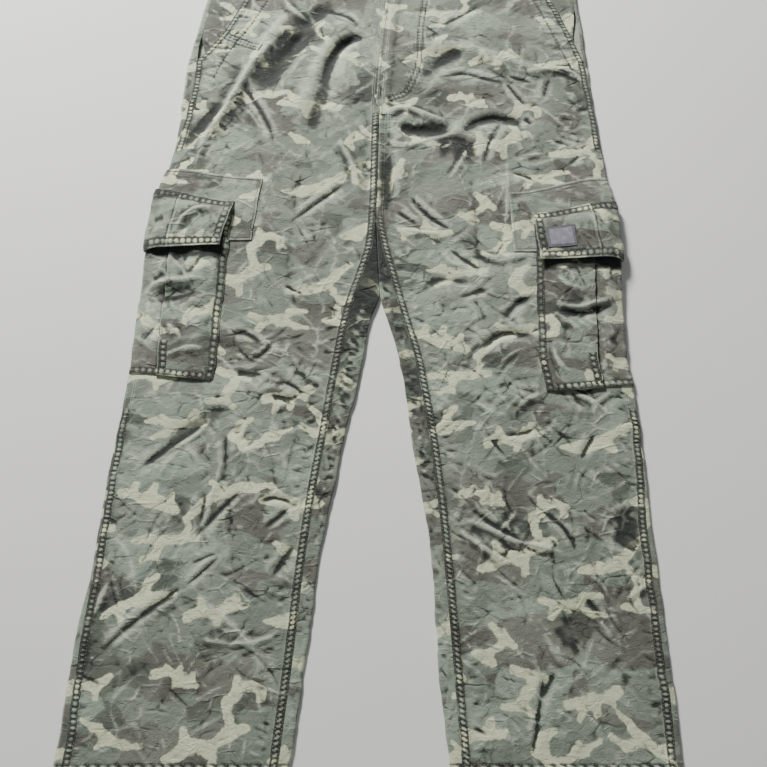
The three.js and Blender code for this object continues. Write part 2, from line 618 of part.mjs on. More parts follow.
for (const leg of LEGS) {
  front(leg);
  back(leg);
  patch(leg);
  bag(leg);
  flap(leg);
  facing(leg);
}
tag(LEGS[1]);
waistband();
button(LEGS[1]);

// The origin is in the middle of the outline, on the surface the garment lies on.
const box = new THREE.Box3().setFromObject(garment);
const middle = box.getCenter(new THREE.Vector3());
garment.position.set(-middle.x, -middle.y, -box.min.z);

export default garment;
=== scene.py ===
import math

import bpy
import numpy as np
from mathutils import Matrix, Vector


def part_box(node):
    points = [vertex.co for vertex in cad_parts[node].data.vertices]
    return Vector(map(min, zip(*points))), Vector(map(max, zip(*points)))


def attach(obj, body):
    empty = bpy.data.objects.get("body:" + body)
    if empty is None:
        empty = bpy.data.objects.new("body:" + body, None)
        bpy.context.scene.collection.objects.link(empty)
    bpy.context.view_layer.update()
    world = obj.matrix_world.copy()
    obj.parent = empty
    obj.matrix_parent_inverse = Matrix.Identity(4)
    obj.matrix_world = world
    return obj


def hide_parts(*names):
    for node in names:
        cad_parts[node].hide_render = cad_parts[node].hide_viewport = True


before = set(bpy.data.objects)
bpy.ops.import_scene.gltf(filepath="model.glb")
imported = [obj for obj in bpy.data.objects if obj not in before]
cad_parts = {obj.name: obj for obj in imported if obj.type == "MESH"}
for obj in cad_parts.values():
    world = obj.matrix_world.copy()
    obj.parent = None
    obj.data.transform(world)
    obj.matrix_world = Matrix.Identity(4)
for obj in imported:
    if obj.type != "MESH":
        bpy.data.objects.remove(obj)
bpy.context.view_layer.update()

# Cargo pants laid on their back, front up: cloth shells, stitching and finishes round the fixed frame.
# The garment's own coordinates are millimetres, +X to the right of someone looking down at the front,
# +Y to the waist and +Z up. Each leg is a flattened ring, and each shell is made from points of that
# ring's skin, moved out by a lift. Folds and creases are read from grids of relief.

# Sizes of the cloth and its seams, mm
MM = 0.001
WALL = 1.2
SEAM_GAP = 0.3
CLEAR = 0.55
FELL_WIDTH = 9
FELL_RISE = 0.7
FELL_SLOPE = 1.5
NEEDLE = 3.2  # from a felled seam's middle to each of its two rows of thread
BEAD_PITCH = 5.4  # the cloth puckers into beads between the rows
POCKET_PITCH = 7.8
NEEDLES = (FELL_WIDTH / 2 - NEEDLE, FELL_WIDTH / 2 + NEEDLE)
FELL_CELLS = 8
INSEAM_SLANT = 0.4  # the inseams' beads twist like a rope
STITCH_PITCH = 3.3
STITCH_LENGTH = 2.6
THREAD_RADIUS = 0.34
HEM_DEPTH = 18
HEM_EXTRA = 0.5
WAIST_TOP = 626
WAIST_SEAM = 586
CROTCH = 217
HEM = -424
CAP_RATIO = 0.62
CAP_ARC = 1.25
EDGE_FALL = 0.3
EDGE_REACH = 9
FORK_RISE = 34  # below the crotch the inner fold edges flatten over this length
LEAST_SPACE = 2.9
SETTLE_REACH = 34
CALM_WAIST = 60
CALM_HEM = 50
NORMAL_STEP = 0.8
FRONT_SPACING = 1.62
BACK_SPACING = 2.15
INNER_STEP = 4  # a shell's inside has one row and column for this many outside

# One row for each cross-section: y, then x of the outer fold edges, the centre seam or the middle of
# the fork, the inner fold edges, the inseams, the inset of the outseams, and loft, the leg's height.
SECTION_COLUMNS = ("outL", "outR", "mid", "inL", "inR", "seamL", "seamR", "sideL", "sideR", "loft")
SECTIONS = np.array([
    [626, -236, 262, 13, 12.7, 13.3, 12.7, 13.3, 6, 5, 6.2],
    [586, -238, 264, 12, 11.7, 12.3, 11.7, 12.3, 6, 5, 6.2],
    [530, -249, 268.5, 6.5, 6.2, 6.8, 6.2, 6.8, 7.5, 5, 6.2],
    [475, -258, 271.5, 1.5, 1.2, 1.8, 1.2, 1.8, 10, 5, 6.2],
    [435, -264, 273, -1.5, -1.8, -1.2, -1.8, -1.2, 14, 3.5, 6.2],
    [395, -266, 276, -4, -4.3, -3.7, -4.3, -3.7, 12, 1.5, 6.2],
    [350, -266.5, 278.5, -6, -6.3, -5.7, -6.3, -5.7, 6, 1, 6.2],
    [300, -272, 281.5, -7, -7.3, -6.7, -7.3, -6.7, 1.5, 1, 6.2],
    [250, -283, 286, -8.2, -8.5, -7.9, -8.5, -7.9, 1, 1, 6.1],
    [217, -287, 288, -9.4, -9.7, -9.1, -10.2, -8.8, 1, 1, 6.1],
    [176, -290, 289.5, -7.8, -8.1, -7.5, -14.2, -1.8, 1, 1, 6],
    [140, -291.5, 289, -6, -6.3, -5.7, -24.5, 7.2, 1, 1, 6],
    [107, -293.5, 287, -4.6, -5.6, -3.6, -35, 16, 1, 1, 5.9],
    [74, -295, 286.5, -5, -18, 6.5, -43, 25, 1, 1, 5.8],
    [35, -296, 286, -3, -23, 17, -50, 36, 1, 1, 5.7],
    [0, -299, 290, -2, -29, 23.5, -56, 42.5, 1, 1, 5.6],
    [-50, -305.5, 295, -5, -41, 29.5, -63.5, 50.5, 1, 1.5, 5.5],
    [-110, -311.5, 296.5, -7, -53, 39, -73.5, 58, 3, 3.5, 5.3],
    [-165, -314.5, 297.5, -8, -64, 48.5, -81.5, 63.5, 3, 5.5, 5.2],
    [-220, -318.5, 299.5, -9, -72.5, 53.5, -88, 67.5, 3.5, 7, 5.1],
    [-270, -326, 300.5, -10, -78, 56, -92.5, 71, 6.5, 6.5, 5],
    [-322, -330.5, 303, -12, -84, 58.5, -97.5, 74.5, 7.5, 6.5, 4.9],
    [-371, -332.5, 304, -13, -90, 63, -103, 77.5, 9, 6.5, 5.4],
    [-424, -337.5, 305.5, -14, -98, 69, -108.5, 81, 11, 7, 6.2],
])

# Broad swells of the top layer: centre, reach along x and y, height.
SWELLS = [
    (60, 400, 150, 120, 6.5), (-110, 420, 105, 130, 6), (150, 250, 100, 90, 2.5),
    (-120, 150, 70, 110, 2.5), (100, 30, 70, 120, 2.5), (190, -120, 90, 80, 3),
    (-190, -110, 90, 90, 2.5), (190, -300, 90, 70, 2), (-210, -290, 90, 70, 2),
]

# The largest folds: points they run through, half width, and rise (below zero for a trough).
FOLDS = [
    ([(-118, 548), (-169, 458), (-206, 378), (-232, 330)], 11, 5),
    ([(-50, 562), (-97, 524), (-112, 489), (-141, 438), (-166, 388)], 14, -7),
    ([(-16, 542), (-62, 500), (-90, 434), (-108, 371), (-118, 318)], 14, 2.2),
    ([(-17, 490), (-48, 482), (-66, 458), (-76, 425), (-80, 404)], 8.5, -6.5),
    ([(-74, 436), (-80, 400), (-88, 368), (-99, 328)], 13, -3.2),
    ([(-208, 388), (-228, 366), (-247, 338), (-266, 308)], 8, -4.5),
    ([(-13, 392), (-12, 296), (-13, 213)], 9, 2.5),
    ([(4, 372), (6, 289), (3, 213)], 7, -2.2),
    ([(12, 344), (50, 341), (94, 345)], 10, -6.5),
    ([(-2, 348), (14, 370), (34, 372), (62, 360), (86, 354)], 3.6, 2.2),
    ([(-1, 342), (12, 322), (42, 320), (77, 333), (106, 341)], 4, 1.5),
    ([(98, 336), (118, 352), (148, 359), (190, 352)], 9, -5),
    ([(10, 475), (90, 475), (148, 459), (213, 433), (246, 434)], 11, 3.5),
    ([(44, 419), (83, 453), (112, 469)], 11, -3.5),
    ([(62, 316), (128, 304)], 17, -3),
    ([(259, -145), (269, -168), (262, -196)], 16, -4.5),
    ([(180, -300), (235, -248)], 19, -3.5),
    ([(-165, -20), (-207, -47), (-284, -103)], 12, -3),
]

# Broad painted shades that darken the cloth beside the large folds: points, half width, share.
SHADES = [
    ([(-48, 572), (-100, 508), (-134, 452), (-184, 370)], 15, 1.8),
    ([(-1, 345), (3, 280), (-2, 200)], 7, 2.0),
    ([(62, 318), (100, 314), (132, 300)], 15, 0.8),
    ([(-205, 352), (-222, 326)], 14, 0.7),
]

# Creases of the legs' fronts, placed one by one: points, half width, rise, and skew, the share of the
# rise that comes back with the other sign beside it (to the right of the way the points run).
CREASES = [
    ([(102, 340), (121, 355), (143, 361), (163, 358), (178, 357)], 6, -2.4, 0.4),
    ([(183, 362), (193, 350)], 6, -3, 0.4),
    ([(68, 420), (105, 428), (133, 421), (163, 412)], 4.5, -2.4, -0.6),
    ([(164, 425), (198, 415)], 4, -2.4, -0.6),
    ([(160, 443), (187, 432), (228, 437), (249, 434), (276, 405)], 6, 2.6, 0.3),
    ([(160, 417), (186, 377)], 4.5, -2, 0.5),
    ([(220, 424), (208, 388)], 5, -2.4, 0.5),
    ([(156, 358), (137, 325), (125, 284)], 5, -2.6, -0.5),
    ([(56, 324), (86, 329), (120, 320)], 12, -3.2, 0.2),
    ([(110, 320), (93, 284), (80, 266)], 4, 1.8, 0.6),
    ([(157, 308), (156, 257), (148, 164)], 3.5, 1.1, -0.4),
    ([(32, 247), (50, 224), (66, 209), (86, 198)], 4.2, -3.6, -0.6),
    ([(16, 224), (43, 205)], 3.6, -2.2, -0.5),
    ([(10, 200), (50, 194), (84, 189)], 5, 2, 0.5),
    ([(73, 181), (97, 158), (128, 138)], 6, -1.9, 0.4),
    ([(114, 176), (133, 160), (184, 164)], 4, 1.8, 0.5),
    ([(88, 107), (127, 115)], 4, -2, 0.5),
    ([(38, 114), (68, 131), (116, 125)], 12, -3, 0.2),
    ([(235, 290), (253, 306)], 4, -2.2, 0.5),
    ([(215, 330), (241, 319)], 4, -1.8, 0.5),
    ([(250, 373), (271, 377)], 4.5, -2, 0.4),
    ([(160, 277), (178, 272), (192, 264)], 6, -2.2, 0.4),
    ([(164, 293), (190, 304), (212, 306)], 4, 1.6, 0.5),
    ([(75, 507), (104, 524), (134, 544)], 7, -2.6, 0.4),
    ([(76, 160), (90, 150), (110, 148)], 4, 1.3, 0.5),
    ([(118, 170), (131, 159), (147, 155), (186, 163)], 4, 1.6, 0.5),
    ([(179, 104), (160, 99), (144, 79)], 9, -3.2, -0.4),
    ([(152, 102), (181, 113)], 4, 1.8, 0.5),
    ([(112, 34), (120, 44), (134, 56), (152, 60), (184, 55)], 8, -4.6, -0.5),
    ([(100, 112), (118, 116), (131, 115)], 4, -1.8, 0.5),
    ([(145, -41), (164, -24), (187, -12)], 5, 2, 0.4),
    ([(216, -11), (244, -26), (239, -42)], 5, 2, 0.4),
    ([(242, -27), (267, -12)], 4, 1.8, 0.4),
    ([(77, -159), (108, -166), (138, -180), (167, -189), (209, -198)], 5.5, 2.4, 0.6),
    ([(149, -150), (124, -178)], 4.5, 2, 0.5),
    ([(82, -171), (121, -199), (142, -212)], 6, 2, 0.5),
    ([(218, -243), (230, -263)], 5, -2.4, 0.5),
    ([(180, -316), (164, -348)], 8, -2.6, 0.3),
    ([(258, -248), (287, -230)], 4, 1.8, 0.5),
    ([(171, -146), (201, -172), (212, -199)], 4.5, -1.9, 0.5),
    ([(133, -65), (164, -61), (179, -50)], 5, -2.2, 0.5),
    ([(242, -62), (222, -93)], 5.5, -3, 0.5),
    ([(91, -143), (130, -172), (167, -191)], 5, -2.2, -0.5),
    ([(171, -306), (160, -360), (149, -412)], 4.5, -1.8, 0.5),
    ([(-234, -68), (-272, -101)], 5, -2.8, 0.5),
    ([(-155, -124), (-185, -154), (-209, -184)], 5, -2.6, -0.5),
    ([(-97, -187), (-123, -225)], 7, -3, 0.4),
    ([(-175, -196), (-204, -223), (-217, -233)], 4, -2, 0.5),
    ([(-213, -229), (-250, -257), (-280, -281), (-301, -303)], 5, -2.4, 0.5),
    ([(-202, -286), (-147, -291), (-101, -277)], 5, 1.9, 0.5),
    ([(-177, -66), (-190, -130), (-207, -202)], 4, 1.4, -0.5),
    ([(-297, -222), (-311, -268)], 5, 2.2, 0.4),
    ([(-184, 60), (-165, 60), (-142, 48)], 6, -3.4, 0.5),
    ([(-128, 53), (-143, 35), (-159, 28)], 4, -2.4, 0.5),
    ([(-121, 122), (-97, 111)], 4, -2.2, 0.5),
    ([(-128, -8), (-115, -1), (-91, -14)], 4.5, -2.2, 0.6),
    ([(-178, 13), (-156, 9), (-138, 12)], 10, -3.6, 0.2),
    ([(-108, 11), (-88, 8)], 8, -2.6, 0.2),
    ([(-135, -16), (-110, -20), (-93, -12)], 6, -2.6, 0.5),
    ([(-199, -45), (-217, -65), (-243, -82)], 5, 2, 0.5),
    ([(-180, -60), (-179, -107)], 5, -1.8, 0.4),
    ([(-140, -139), (-119, -137), (-97, -143)], 4.5, -2.2, 0.6),
    ([(-102, -144), (-117, -158), (-134, -171)], 4.5, -2.2, 0.5),
    ([(-176, -195), (-211, -208)], 4, -1.8, 0.5),
    ([(-198, -126), (-203, -171)], 6, -1.8, 0.3),
    ([(-117, 208), (-84, 236), (-48, 265)], 4.6, -3.6, -0.5),
    ([(-30, 500), (-48, 520), (-90, 540)], 6, -2, 0.4),
    ([(-100, 500), (-120, 480), (-128, 450)], 6, -2.2, 0.4),
    ([(-140, 560), (-120, 530), (-90, 512)], 6, 2, 0.4),
    ([(-126, 518), (-143, 486), (-168, 452), (-181, 425), (-207, 372), (-233, 327), (-242, 274)],
     6, 3.6, 0.4),
    ([(-190, 420), (-150, 350), (-140, 310)], 5, -2, 0.5),
    ([(-28, 486), (-46, 483), (-62, 462), (-70, 440)], 6, -3, 0.3),
    ([(-60, 330), (-40, 290), (-36, 250)], 5, 1.6, 0.5),
]

# Small creases, scattered over places that have many: centre, reach along x and y, how many, their
# direction in degrees and its spread, length, half width, and rise.
SCATTER = [
    (-118, 20, 46, 40, 60, 5, 38, 46, 3.8, 2.0),
    (-150, -60, 60, 50, 44, 40, 50, 44, 3.6, 1.6),
    (-190, -160, 70, 60, 80, 65, 45, 52, 3.2, 1.4),
    (-130, -250, 40, 60, 44, 15, 35, 48, 3.4, 1.5),
    (-220, -330, 75, 60, 70, 50, 60, 50, 3.3, 1.3),
    (-120, 190, 70, 70, 46, 30, 50, 40, 3.2, 1.2),
    (-70, 330, 55, 70, 40, 60, 40, 46, 3.6, 1.4),
    (-130, 480, 80, 60, 50, -40, 45, 52, 4.0, 1.5),
    (-230, 380, 22, 70, 36, -20, 50, 34, 3.4, 1.6),
    (120, 40, 60, 46, 66, 15, 40, 46, 3.8, 2.0),
    (150, -30, 70, 40, 56, 25, 50, 44, 3.6, 1.8),
    (120, -140, 50, 60, 60, -40, 45, 48, 3.4, 1.5),
    (220, -170, 60, 70, 60, -50, 50, 50, 3.4, 1.5),
    (170, -330, 80, 60, 66, 70, 55, 52, 3.4, 1.3),
    (90, 200, 60, 70, 46, -35, 45, 40, 3.2, 1.3),
    (150, 330, 70, 50, 50, 20, 50, 42, 3.8, 1.5),
    (240, 330, 26, 60, 44, 30, 45, 30, 3.4, 1.6),
    (120, 480, 90, 60, 50, 10, 40, 52, 4.0, 1.4),
]
SPRINKLE = {"count": 1100, "length": 24, "width": 1.8, "rise": 0.32}
# The listed and the scattered creases are drawn at these shares of their width and rise.
CREASE_SLIM, CREASE_LOW = 0.6, 0.8
SCATTER_SLIM, SCATTER_LOW = 0.56, 0.3
# Painted shade darkens the large troughs: its share of their width, and the depths it starts and grows by.
SHADE_REACH = 0.95
SHADE_FROM_DEPTH = 2.4
SHADE_FULL_DEPTH = 2.2
# Puckers beside the seams: the seam, from and to along y, the way across, and rise.
FEATHERS = [
    ("seamL", HEM, 200, -1, 0.6), ("seamR", HEM, 200, 1, 0.6),
    ("seamL", HEM, 110, 0.6, 1.1), ("seamR", HEM, 110, -0.6, 1.1),
    ("outL", HEM, 0, 1, 0.5), ("outR", HEM, -20, -1, 0.5),
    ("outL", 300, 440, 1.6, 0.7), ("outR", 290, 440, -1.6, 0.7),
]
UNDER_SPRINKLE = {"count": 420, "length": 60, "width": 5.5, "rise": 1.3}

# Creases of the cargo pockets' bags, and of their flaps.
BAG_CREASES = [
    ([(-296, 105), (-272, 123), (-241, 127), (-206, 127)], 6, 3.4, 0.7),
    ([(-293, 99), (-264, 106), (-216, 112)], 8, -3.2, 0.2),
    ([(-237, 133), (-220, 158)], 5, -2.4, 0.6),
    ([(-258, 160), (-236, 150)], 7, -2.4, 0.3),
    ([(-259, 73), (-237, 51)], 4, 1.9, 0.6),
    ([(-262, 27), (-241, 37), (-206, 40)], 4, 1.7, 0.6),
    ([(-289, 50), (-280, 58), (-268, 67)], 5, -2.4, 0.5),
    ([(-279, 125), (-264, 138)], 5, -2.2, 0.4),
    ([(-240, 84), (-222, 92), (-206, 88)], 9, -2.4, 0.2),
    ([(-212, 165), (-205, 140), (-214, 110)], 7, 1.6, 0.3),
    ([(198, 96), (212, 94), (231, 91), (258, 99), (283, 108)], 5, 2.6, 0.3),
    ([(200, 88), (231, 83), (258, 90), (281, 98)], 5, -3.6, 0.2),
    ([(218, 74), (211, 42)], 8, -2.4, 0.3),
    ([(270, 137), (289, 131)], 6, -2.2, 0.4),
    ([(266, 44), (290, 66)], 6, -2.4, 0.4),
    ([(208, 132), (224, 118), (250, 112)], 4, 1.6, 0.6),
    ([(196, 50), (206, 20), (222, 8)], 4, 1.4, 0.6),
]
FLAP_CREASES = [
    ([(-257, 184), (-249, 203), (-240, 216), (-224, 222), (-204, 224)], 3.6, 2.8, 0.9),
    ([(-250, 209), (-232, 225)], 4, -1.4, 0.6),
    ([(-247, 230), (-220, 233), (-195, 228)], 4, 1.4, 0.5),
    ([(-284, 205), (-268, 208)], 5, -1.0, 0.4),
    ([(-286, 190), (-262, 194)], 4, 0.9, 0.4),
    ([(200, 168), (230, 163), (262, 170)], 6, -0.9, 0.4),
    ([(252, 220), (262, 195), (266, 166)], 4, 0.9, 0.5),
    ([(190, 218), (222, 222), (250, 232)], 5, -0.8, 0.4),
]

# Cargo pocket sizes. "In" is at a layer's inner edge and "Out" at the leg's outer fold edge; reach is
# the distance from that fold edge. drop is how much lower the right pocket sits.
LAYER_KEYS = ("top_in", "top_out", "low_in", "low_out", "reach_top", "reach_low")
POCKETS = {
    "L": {
        "patch": (267.5, 283.5, 180.5, 182.5, 128, 128),
        "flap": (234, 252, 170, 167.5, 100, 91),
        "bag": (217, 217, 1, 10, 100, 100),
        "pleat": (30, 33),
        "drop": 0,
    },
    "R": {
        "patch": (245.5, 271, 165, 166, 130, 130),
        "flap": (216.5, 234.5, 151, 155.5, 104, 100),
        "bag": (201, 201, -12.5, -5.5, 103, 103),
        "pleat": (33, 36),
        "drop": -16,
    },
}
PATCH_UNDER = 104
FLAP_UNDER = 80
BAG_UNDER = 86
BAG_WALL = 1
BAG_PUFF = 1.6
BAG_AIR = 3.0  # how much more the bag is blown out between its seams, below the flap
BAG_LAYER = BAG_WALL + SEAM_GAP
PLEAT_DEPTH = 12
PLEAT_LEAD = 6
# Columns of the bag's mesh: the pleat's lip, its floor's start, and where the floor comes out from under the lip
LIP_COLUMN = 50
FLOOR_COLUMN = 66
OUT_COLUMN = 72
BAR_MIDDLE = 5.5  # from the lip to the middle of the pleat's double row
PLEAT_BAR = 44  # length of the double row that holds the pleat shut at its low end
PATCH_STEP = (-24, -3)
FLAP_WALL = 1.6
FLAP_SLACK = 2.4
FLAP_CLIMB = 0.3
FLAP_CURL = 2.2
FLAP_DARKEN = 0.36
FLAP_TUCK = (31, 25)  # reach of the line stitched down each flap, at its top and low edge
TAG = {"reach_from": 90, "reach_to": 55, "from": 0.37, "to": 0.77, "wall": 0.6}
BEDS = [(1.7, -60, -14, 286, 340), (3.9, 96, 162, 257, 300)]
BED_FULL = 134
BED_NONE = 174
WAIST_BED = (0.9, 528, 560)

# Slant pocket mouths, the fly and the waistband
MOUTH_Y = np.array([452, 470, 498, 536, 586])
MOUTH_X = {"L": np.array([-249.5, -235, -216, -199, -177]), "R": np.array([267.5, 261.5, 252, 237.5, 217.5])}
MOUTH_END = 452
FACING_WALL = 1
FACING_END = 424
FACING_LAP = 18
FACING_TUCK = 10
FLY_SIDE = "R"
FLY_LAP = 5
FLY_END = 380
FLY_SETTLE = 364
HIDDEN_SEAM = (-30, 310)
BAND_OUT = 0.8
BAND_IN = 1.2
UNDER_LAP = 24
OVER_LAP = 3
BAND_MIDDLE = (WAIST_TOP + WAIST_SEAM) / 2
BUTTON_RADIUS = 8.5
BUTTON_THICK = 3
BUTTON_FROM_END = 14

# Stitch lines on the fronts' faces: side, points, gap between the two rows (0 for one row).
FACE_LINES = [
    ("R", [(62, 584), (58.6, 560), (51, 508), (47.5, 452), (42, 427), (30, 398), (10, 388)], 6),
    ("L", [(-150, 584), (-158, 557), (-170, 529), (-181, 507), (-193, 489), (-209, 462), (-216, 448),
           (-225, 424)], 0),
    ("R", [(193, 584), (203, 560), (222, 515), (240, 465), (249, 442), (252, 428)], 0),
    ("L", [(-219, 495), (-192, 481), (-164, 466)], 9),
    ("L", [(-219, 495), (-192, 481), (-164, 466)], 0),
]
BARTACKS = [("R", -4, 398, 90, 14), ("R", 268, 452, 20, 12), ("L", -248, 452, 160, 12), ("R", 12, 386, 0, 10),
            ("L", -165, 467, 63, 10), ("L", -218, 494, 63, 10)]

SIDES = ("L", "R")
DIR = {"L": 1.0, "R": -1.0}
NAMES = {"L": "left", "R": "right"}


def smooth(low, high, x):
    t = np.clip((x - low) / (high - low), 0, 1)
    return t * t * (3 - 2 * t)


def mix(a, b, t):
    return a + (b - a) * t


def bell(x, width):
    """1 at zero, falling away over the width on both sides."""
    return np.exp(-((x / width) ** 2))


def bilinear(field, i, j, i1, j1, a, b):
    """Reads a grid between four of its cells."""
    return mix(mix(field[i, j], field[i1, j], a), mix(field[i, j1], field[i1, j1], a), b)


def hermite(t, a, b, slope_a, slope_b):
    """A cubic from a to b, with its slope at each end."""
    return (
        (2 * t**3 - 3 * t**2 + 1) * a + (t**3 - 2 * t**2 + t) * slope_a
        + (3 * t**2 - 2 * t**3) * b + (t**3 - t**2) * slope_b
    )


def noise(u, v, seed, cells=(64, 64)):
    """Smooth random values from -1 to 1, one cell for each unit of u and v, repeating after `cells`."""
    lattice = np.random.default_rng(seed).uniform(-1, 1, cells)
    i, j = np.floor(u).astype(int), np.floor(v).astype(int)
    a, b = smooth(0, 1, u - i), smooth(0, 1, v - j)
    i0, i1, j0, j1 = i % cells[0], (i + 1) % cells[0], j % cells[1], (j + 1) % cells[1]
    return bilinear(lattice, i0, j0, i1, j1, a, b)


# Curves through the sections, one value for each millimetre of y
TABLE_Y = np.arange(-446.0, 647.0)


def tabulate(rows):
    ys, values = rows[::-1, 0], rows[::-1, 1:]
    slope = np.zeros_like(values)
    slope[1:-1] = (values[2:] - values[:-2]) / (ys[2:] - ys[:-2])[:, None]
    slope[0] = (values[1] - values[0]) / (ys[1] - ys[0])
    slope[-1] = (values[-1] - values[-2]) / (ys[-1] - ys[-2])
    i = np.clip(np.searchsorted(ys, TABLE_Y) - 1, 0, len(ys) - 2)
    h = (ys[i + 1] - ys[i])[:, None]
    t = np.clip((TABLE_Y - ys[i])[:, None] / h, 0, 1)
    return hermite(t, values[i], values[i + 1], h * slope[i], h * slope[i + 1])


CURVES = dict(zip(SECTION_COLUMNS, tabulate(SECTIONS).T))
for k, column in enumerate(("outL", "outR", "inL", "inR")):
    wander = 0.9 * noise(TABLE_Y / 19, TABLE_Y * 0 + 5 * k, 11)
    wander = wander + 0.45 * noise(TABLE_Y / 7, TABLE_Y * 0 + 3 * k, 12)
    quiet = smooth(WAIST_SEAM, 540, TABLE_Y) if column[:3] == "out" else smooth(120, 60, TABLE_Y)
    CURVES[column] = CURVES[column] + wander * quiet


def along(column, y):
    return np.interp(y, TABLE_Y, CURVES[column])


def mouth_edge(side, y):
    return np.interp(y, MOUTH_Y, MOUTH_X[side])


def layer_of(side, name):
    return dict(zip(LAYER_KEYS, POCKETS[side][name]))


# Grids of relief, a millimetre a cell
GRID_X = np.arange(-352.0, 332.0)
GRID_Y = np.arange(-446.0, 647.0)
XX, YY = np.meshgrid(GRID_X, GRID_Y, indexing="ij")


def sample(field, x, y):
    u = np.clip(x - GRID_X[0], 0, len(GRID_X) - 1.001)
    v = np.clip(y - GRID_Y[0], 0, len(GRID_Y) - 1.001)
    i, j = u.astype(int), v.astype(int)
    a, b = u - i, v - j
    return bilinear(field, i, j, i + 1, j + 1, a, b)


def rounded(path, steps=5):
    """A smooth curve through a few points."""
    p = np.array(path, float)
    if len(p) < 3:
        return p
    p = np.vstack([2 * p[0] - p[1], p, 2 * p[-1] - p[-2]])
    t = (np.arange(steps) / steps)[:, None]
    parts = [
        0.5 * (2 * b + (c - a) * t + (2 * a - 5 * b + 4 * c - d) * t**2 + (3 * b - a - 3 * c + d) * t**3)
        for a, b, c, d in zip(p[:-3], p[1:-2], p[2:-1], p[3:])
    ]
    return np.vstack(parts + [p[-2:-1]])


def place(path, x, y):
    """Signed distance to a path, above zero on its right, and the lengths to the nearest point and in all."""
    best, far, run = np.full(np.shape(x), 1e9), np.zeros(np.shape(x)), 0.0
    for (ax, ay), (bx, by) in zip(path[:-1], path[1:]):
        dx, dy = bx - ax, by - ay
        length = math.hypot(dx, dy)
        t = np.clip(((x - ax) * dx + (y - ay) * dy) / length**2, 0, 1)
        gap = np.hypot(x - ax - dx * t, y - ay - dy * t)
        near = gap < np.abs(best)
        sign = np.where((x - ax) * dy - (y - ay) * dx >= 0, 1.0, -1.0)
        best, far = np.where(near, gap * sign, best), np.where(near, run + t * length, far)
        run += length
    return best, far, run


def crease(field, path, width, rise, skew=0.0, taper=0.3, sharp=1.5):
    """Adds a ridge or a trough that fades to nothing at both ends."""
    curve = rounded(path)
    margin = 6 * width
    i = slice(*np.searchsorted(GRID_X, (curve[:, 0].min() - margin, curve[:, 0].max() + margin)))
    j = slice(*np.searchsorted(GRID_Y, (curve[:, 1].min() - margin, curve[:, 1].max() + margin)))
    gap, far, whole = place(curve, XX[i, j], YY[i, j])
    share = far / whole
    fade = smooth(0, taper, np.minimum(share, 1 - share))
    body = np.exp(-((np.abs(gap) / width) ** sharp))
    beside = np.exp(-(((gap - math.copysign(2.5, skew or 1) * width) / (1.9 * width)) ** 2))
    field[i, j] += rise * fade * (body - 0.6 * abs(skew) * beside)


def stray(field, rng, x, y, turn, length, width, rise):
    """One small crease with a slight bend."""
    way, aside = np.array([math.cos(turn), math.sin(turn)]), np.array([-math.sin(turn), math.cos(turn)])
    middle, half = np.array([x, y]), length / 2
    bend = aside * rng.normal(0, 0.2) * half
    path = [middle - way * half, middle + bend, middle + way * half]
    skew = rng.uniform(0.25, 0.75) * (1 if rng.random() < 0.5 else -1)
    crease(field, path, width, rise, skew, taper=0.42, sharp=1.35)


def scatter(field, rng, rows):
    for x, y, reach_x, reach_y, count, angle, spread, length, width, rise in rows:
        for _ in range(count):
            turn = math.radians(rng.normal(angle, spread))
            size = SCATTER_LOW * rise * rng.uniform(0.35, 1.0) * (1 if rng.random() < 0.36 else -1)
            stray(
                field, rng, rng.normal(x, reach_x), rng.normal(y, reach_y), turn,
                length * rng.uniform(0.45, 1.5), SCATTER_SLIM * width * rng.uniform(0.7, 1.35), size,
            )


def sprinkle(field, rng, count, length, width, rise, only_up=False):
    """Creases all over, in any direction."""
    for _ in range(count):
        size = rise * rng.uniform(0.3, 1.0)
        if not only_up and rng.random() < 0.6:
            size = -size
        x, y = rng.uniform(-335, 305), rng.uniform(-424, 600)
        stray(field, rng, x, y, rng.uniform(0, math.pi), length * rng.uniform(0.5, 1.6), width, size)


def feather(field, rng, seam, low, high, sense, rise):
    """Short puckers that run out from a seam: seam is its curve's name, sense the way across from it."""
    y = low
    while y < high:
        y += rng.uniform(4.5, 10)
        x = along(seam, y) + sense * rng.uniform(9, 15)
        length = rng.uniform(10, 26)
        turn = rng.normal(0, 0.28)
        size = rise * rng.uniform(0.3, 1.0) * (1 if rng.random() < 0.45 else -1)
        path = [(x, y), (x + sense * length * math.cos(turn), y + length * math.sin(turn))]
        crease(field, path, rng.uniform(1.4, 2.2), size, 0.4, taper=0.5)


def crumple(scale, seed, stretch=1.0):
    """Facets of crushed cloth: soft noise folded over, so that it creases where it crosses zero."""
    warp = 0.7 * noise(XX / scale / 1.7, YY / scale / 1.7, seed + 50)
    u = (XX * 0.83 + YY * 0.56) / scale + warp
    v = (YY * 0.83 - XX * 0.56) / scale * stretch - warp
    return 0.36 - np.abs(noise(u, v, seed))


def spread_min(field, reach):
    """The lowest value within reach cells."""
    low = field.copy()
    for axis in (0, 1):
        base = low.copy()
        for k in range(1, reach + 1):
            for shift in (-k, k):
                low = np.minimum(low, np.roll(base, shift, axis))
    return low


def edge_distances(side, x, y):
    from_outer = np.abs(x - along("out" + side, y))
    joined = FORK_RISE * smooth(CROTCH - FORK_RISE, CROTCH, y)
    from_inner = np.where(y > CROTCH, 1e3, np.abs(x - along("in" + side, y)) + joined)
    return from_outer, np.minimum(from_outer, from_inner)


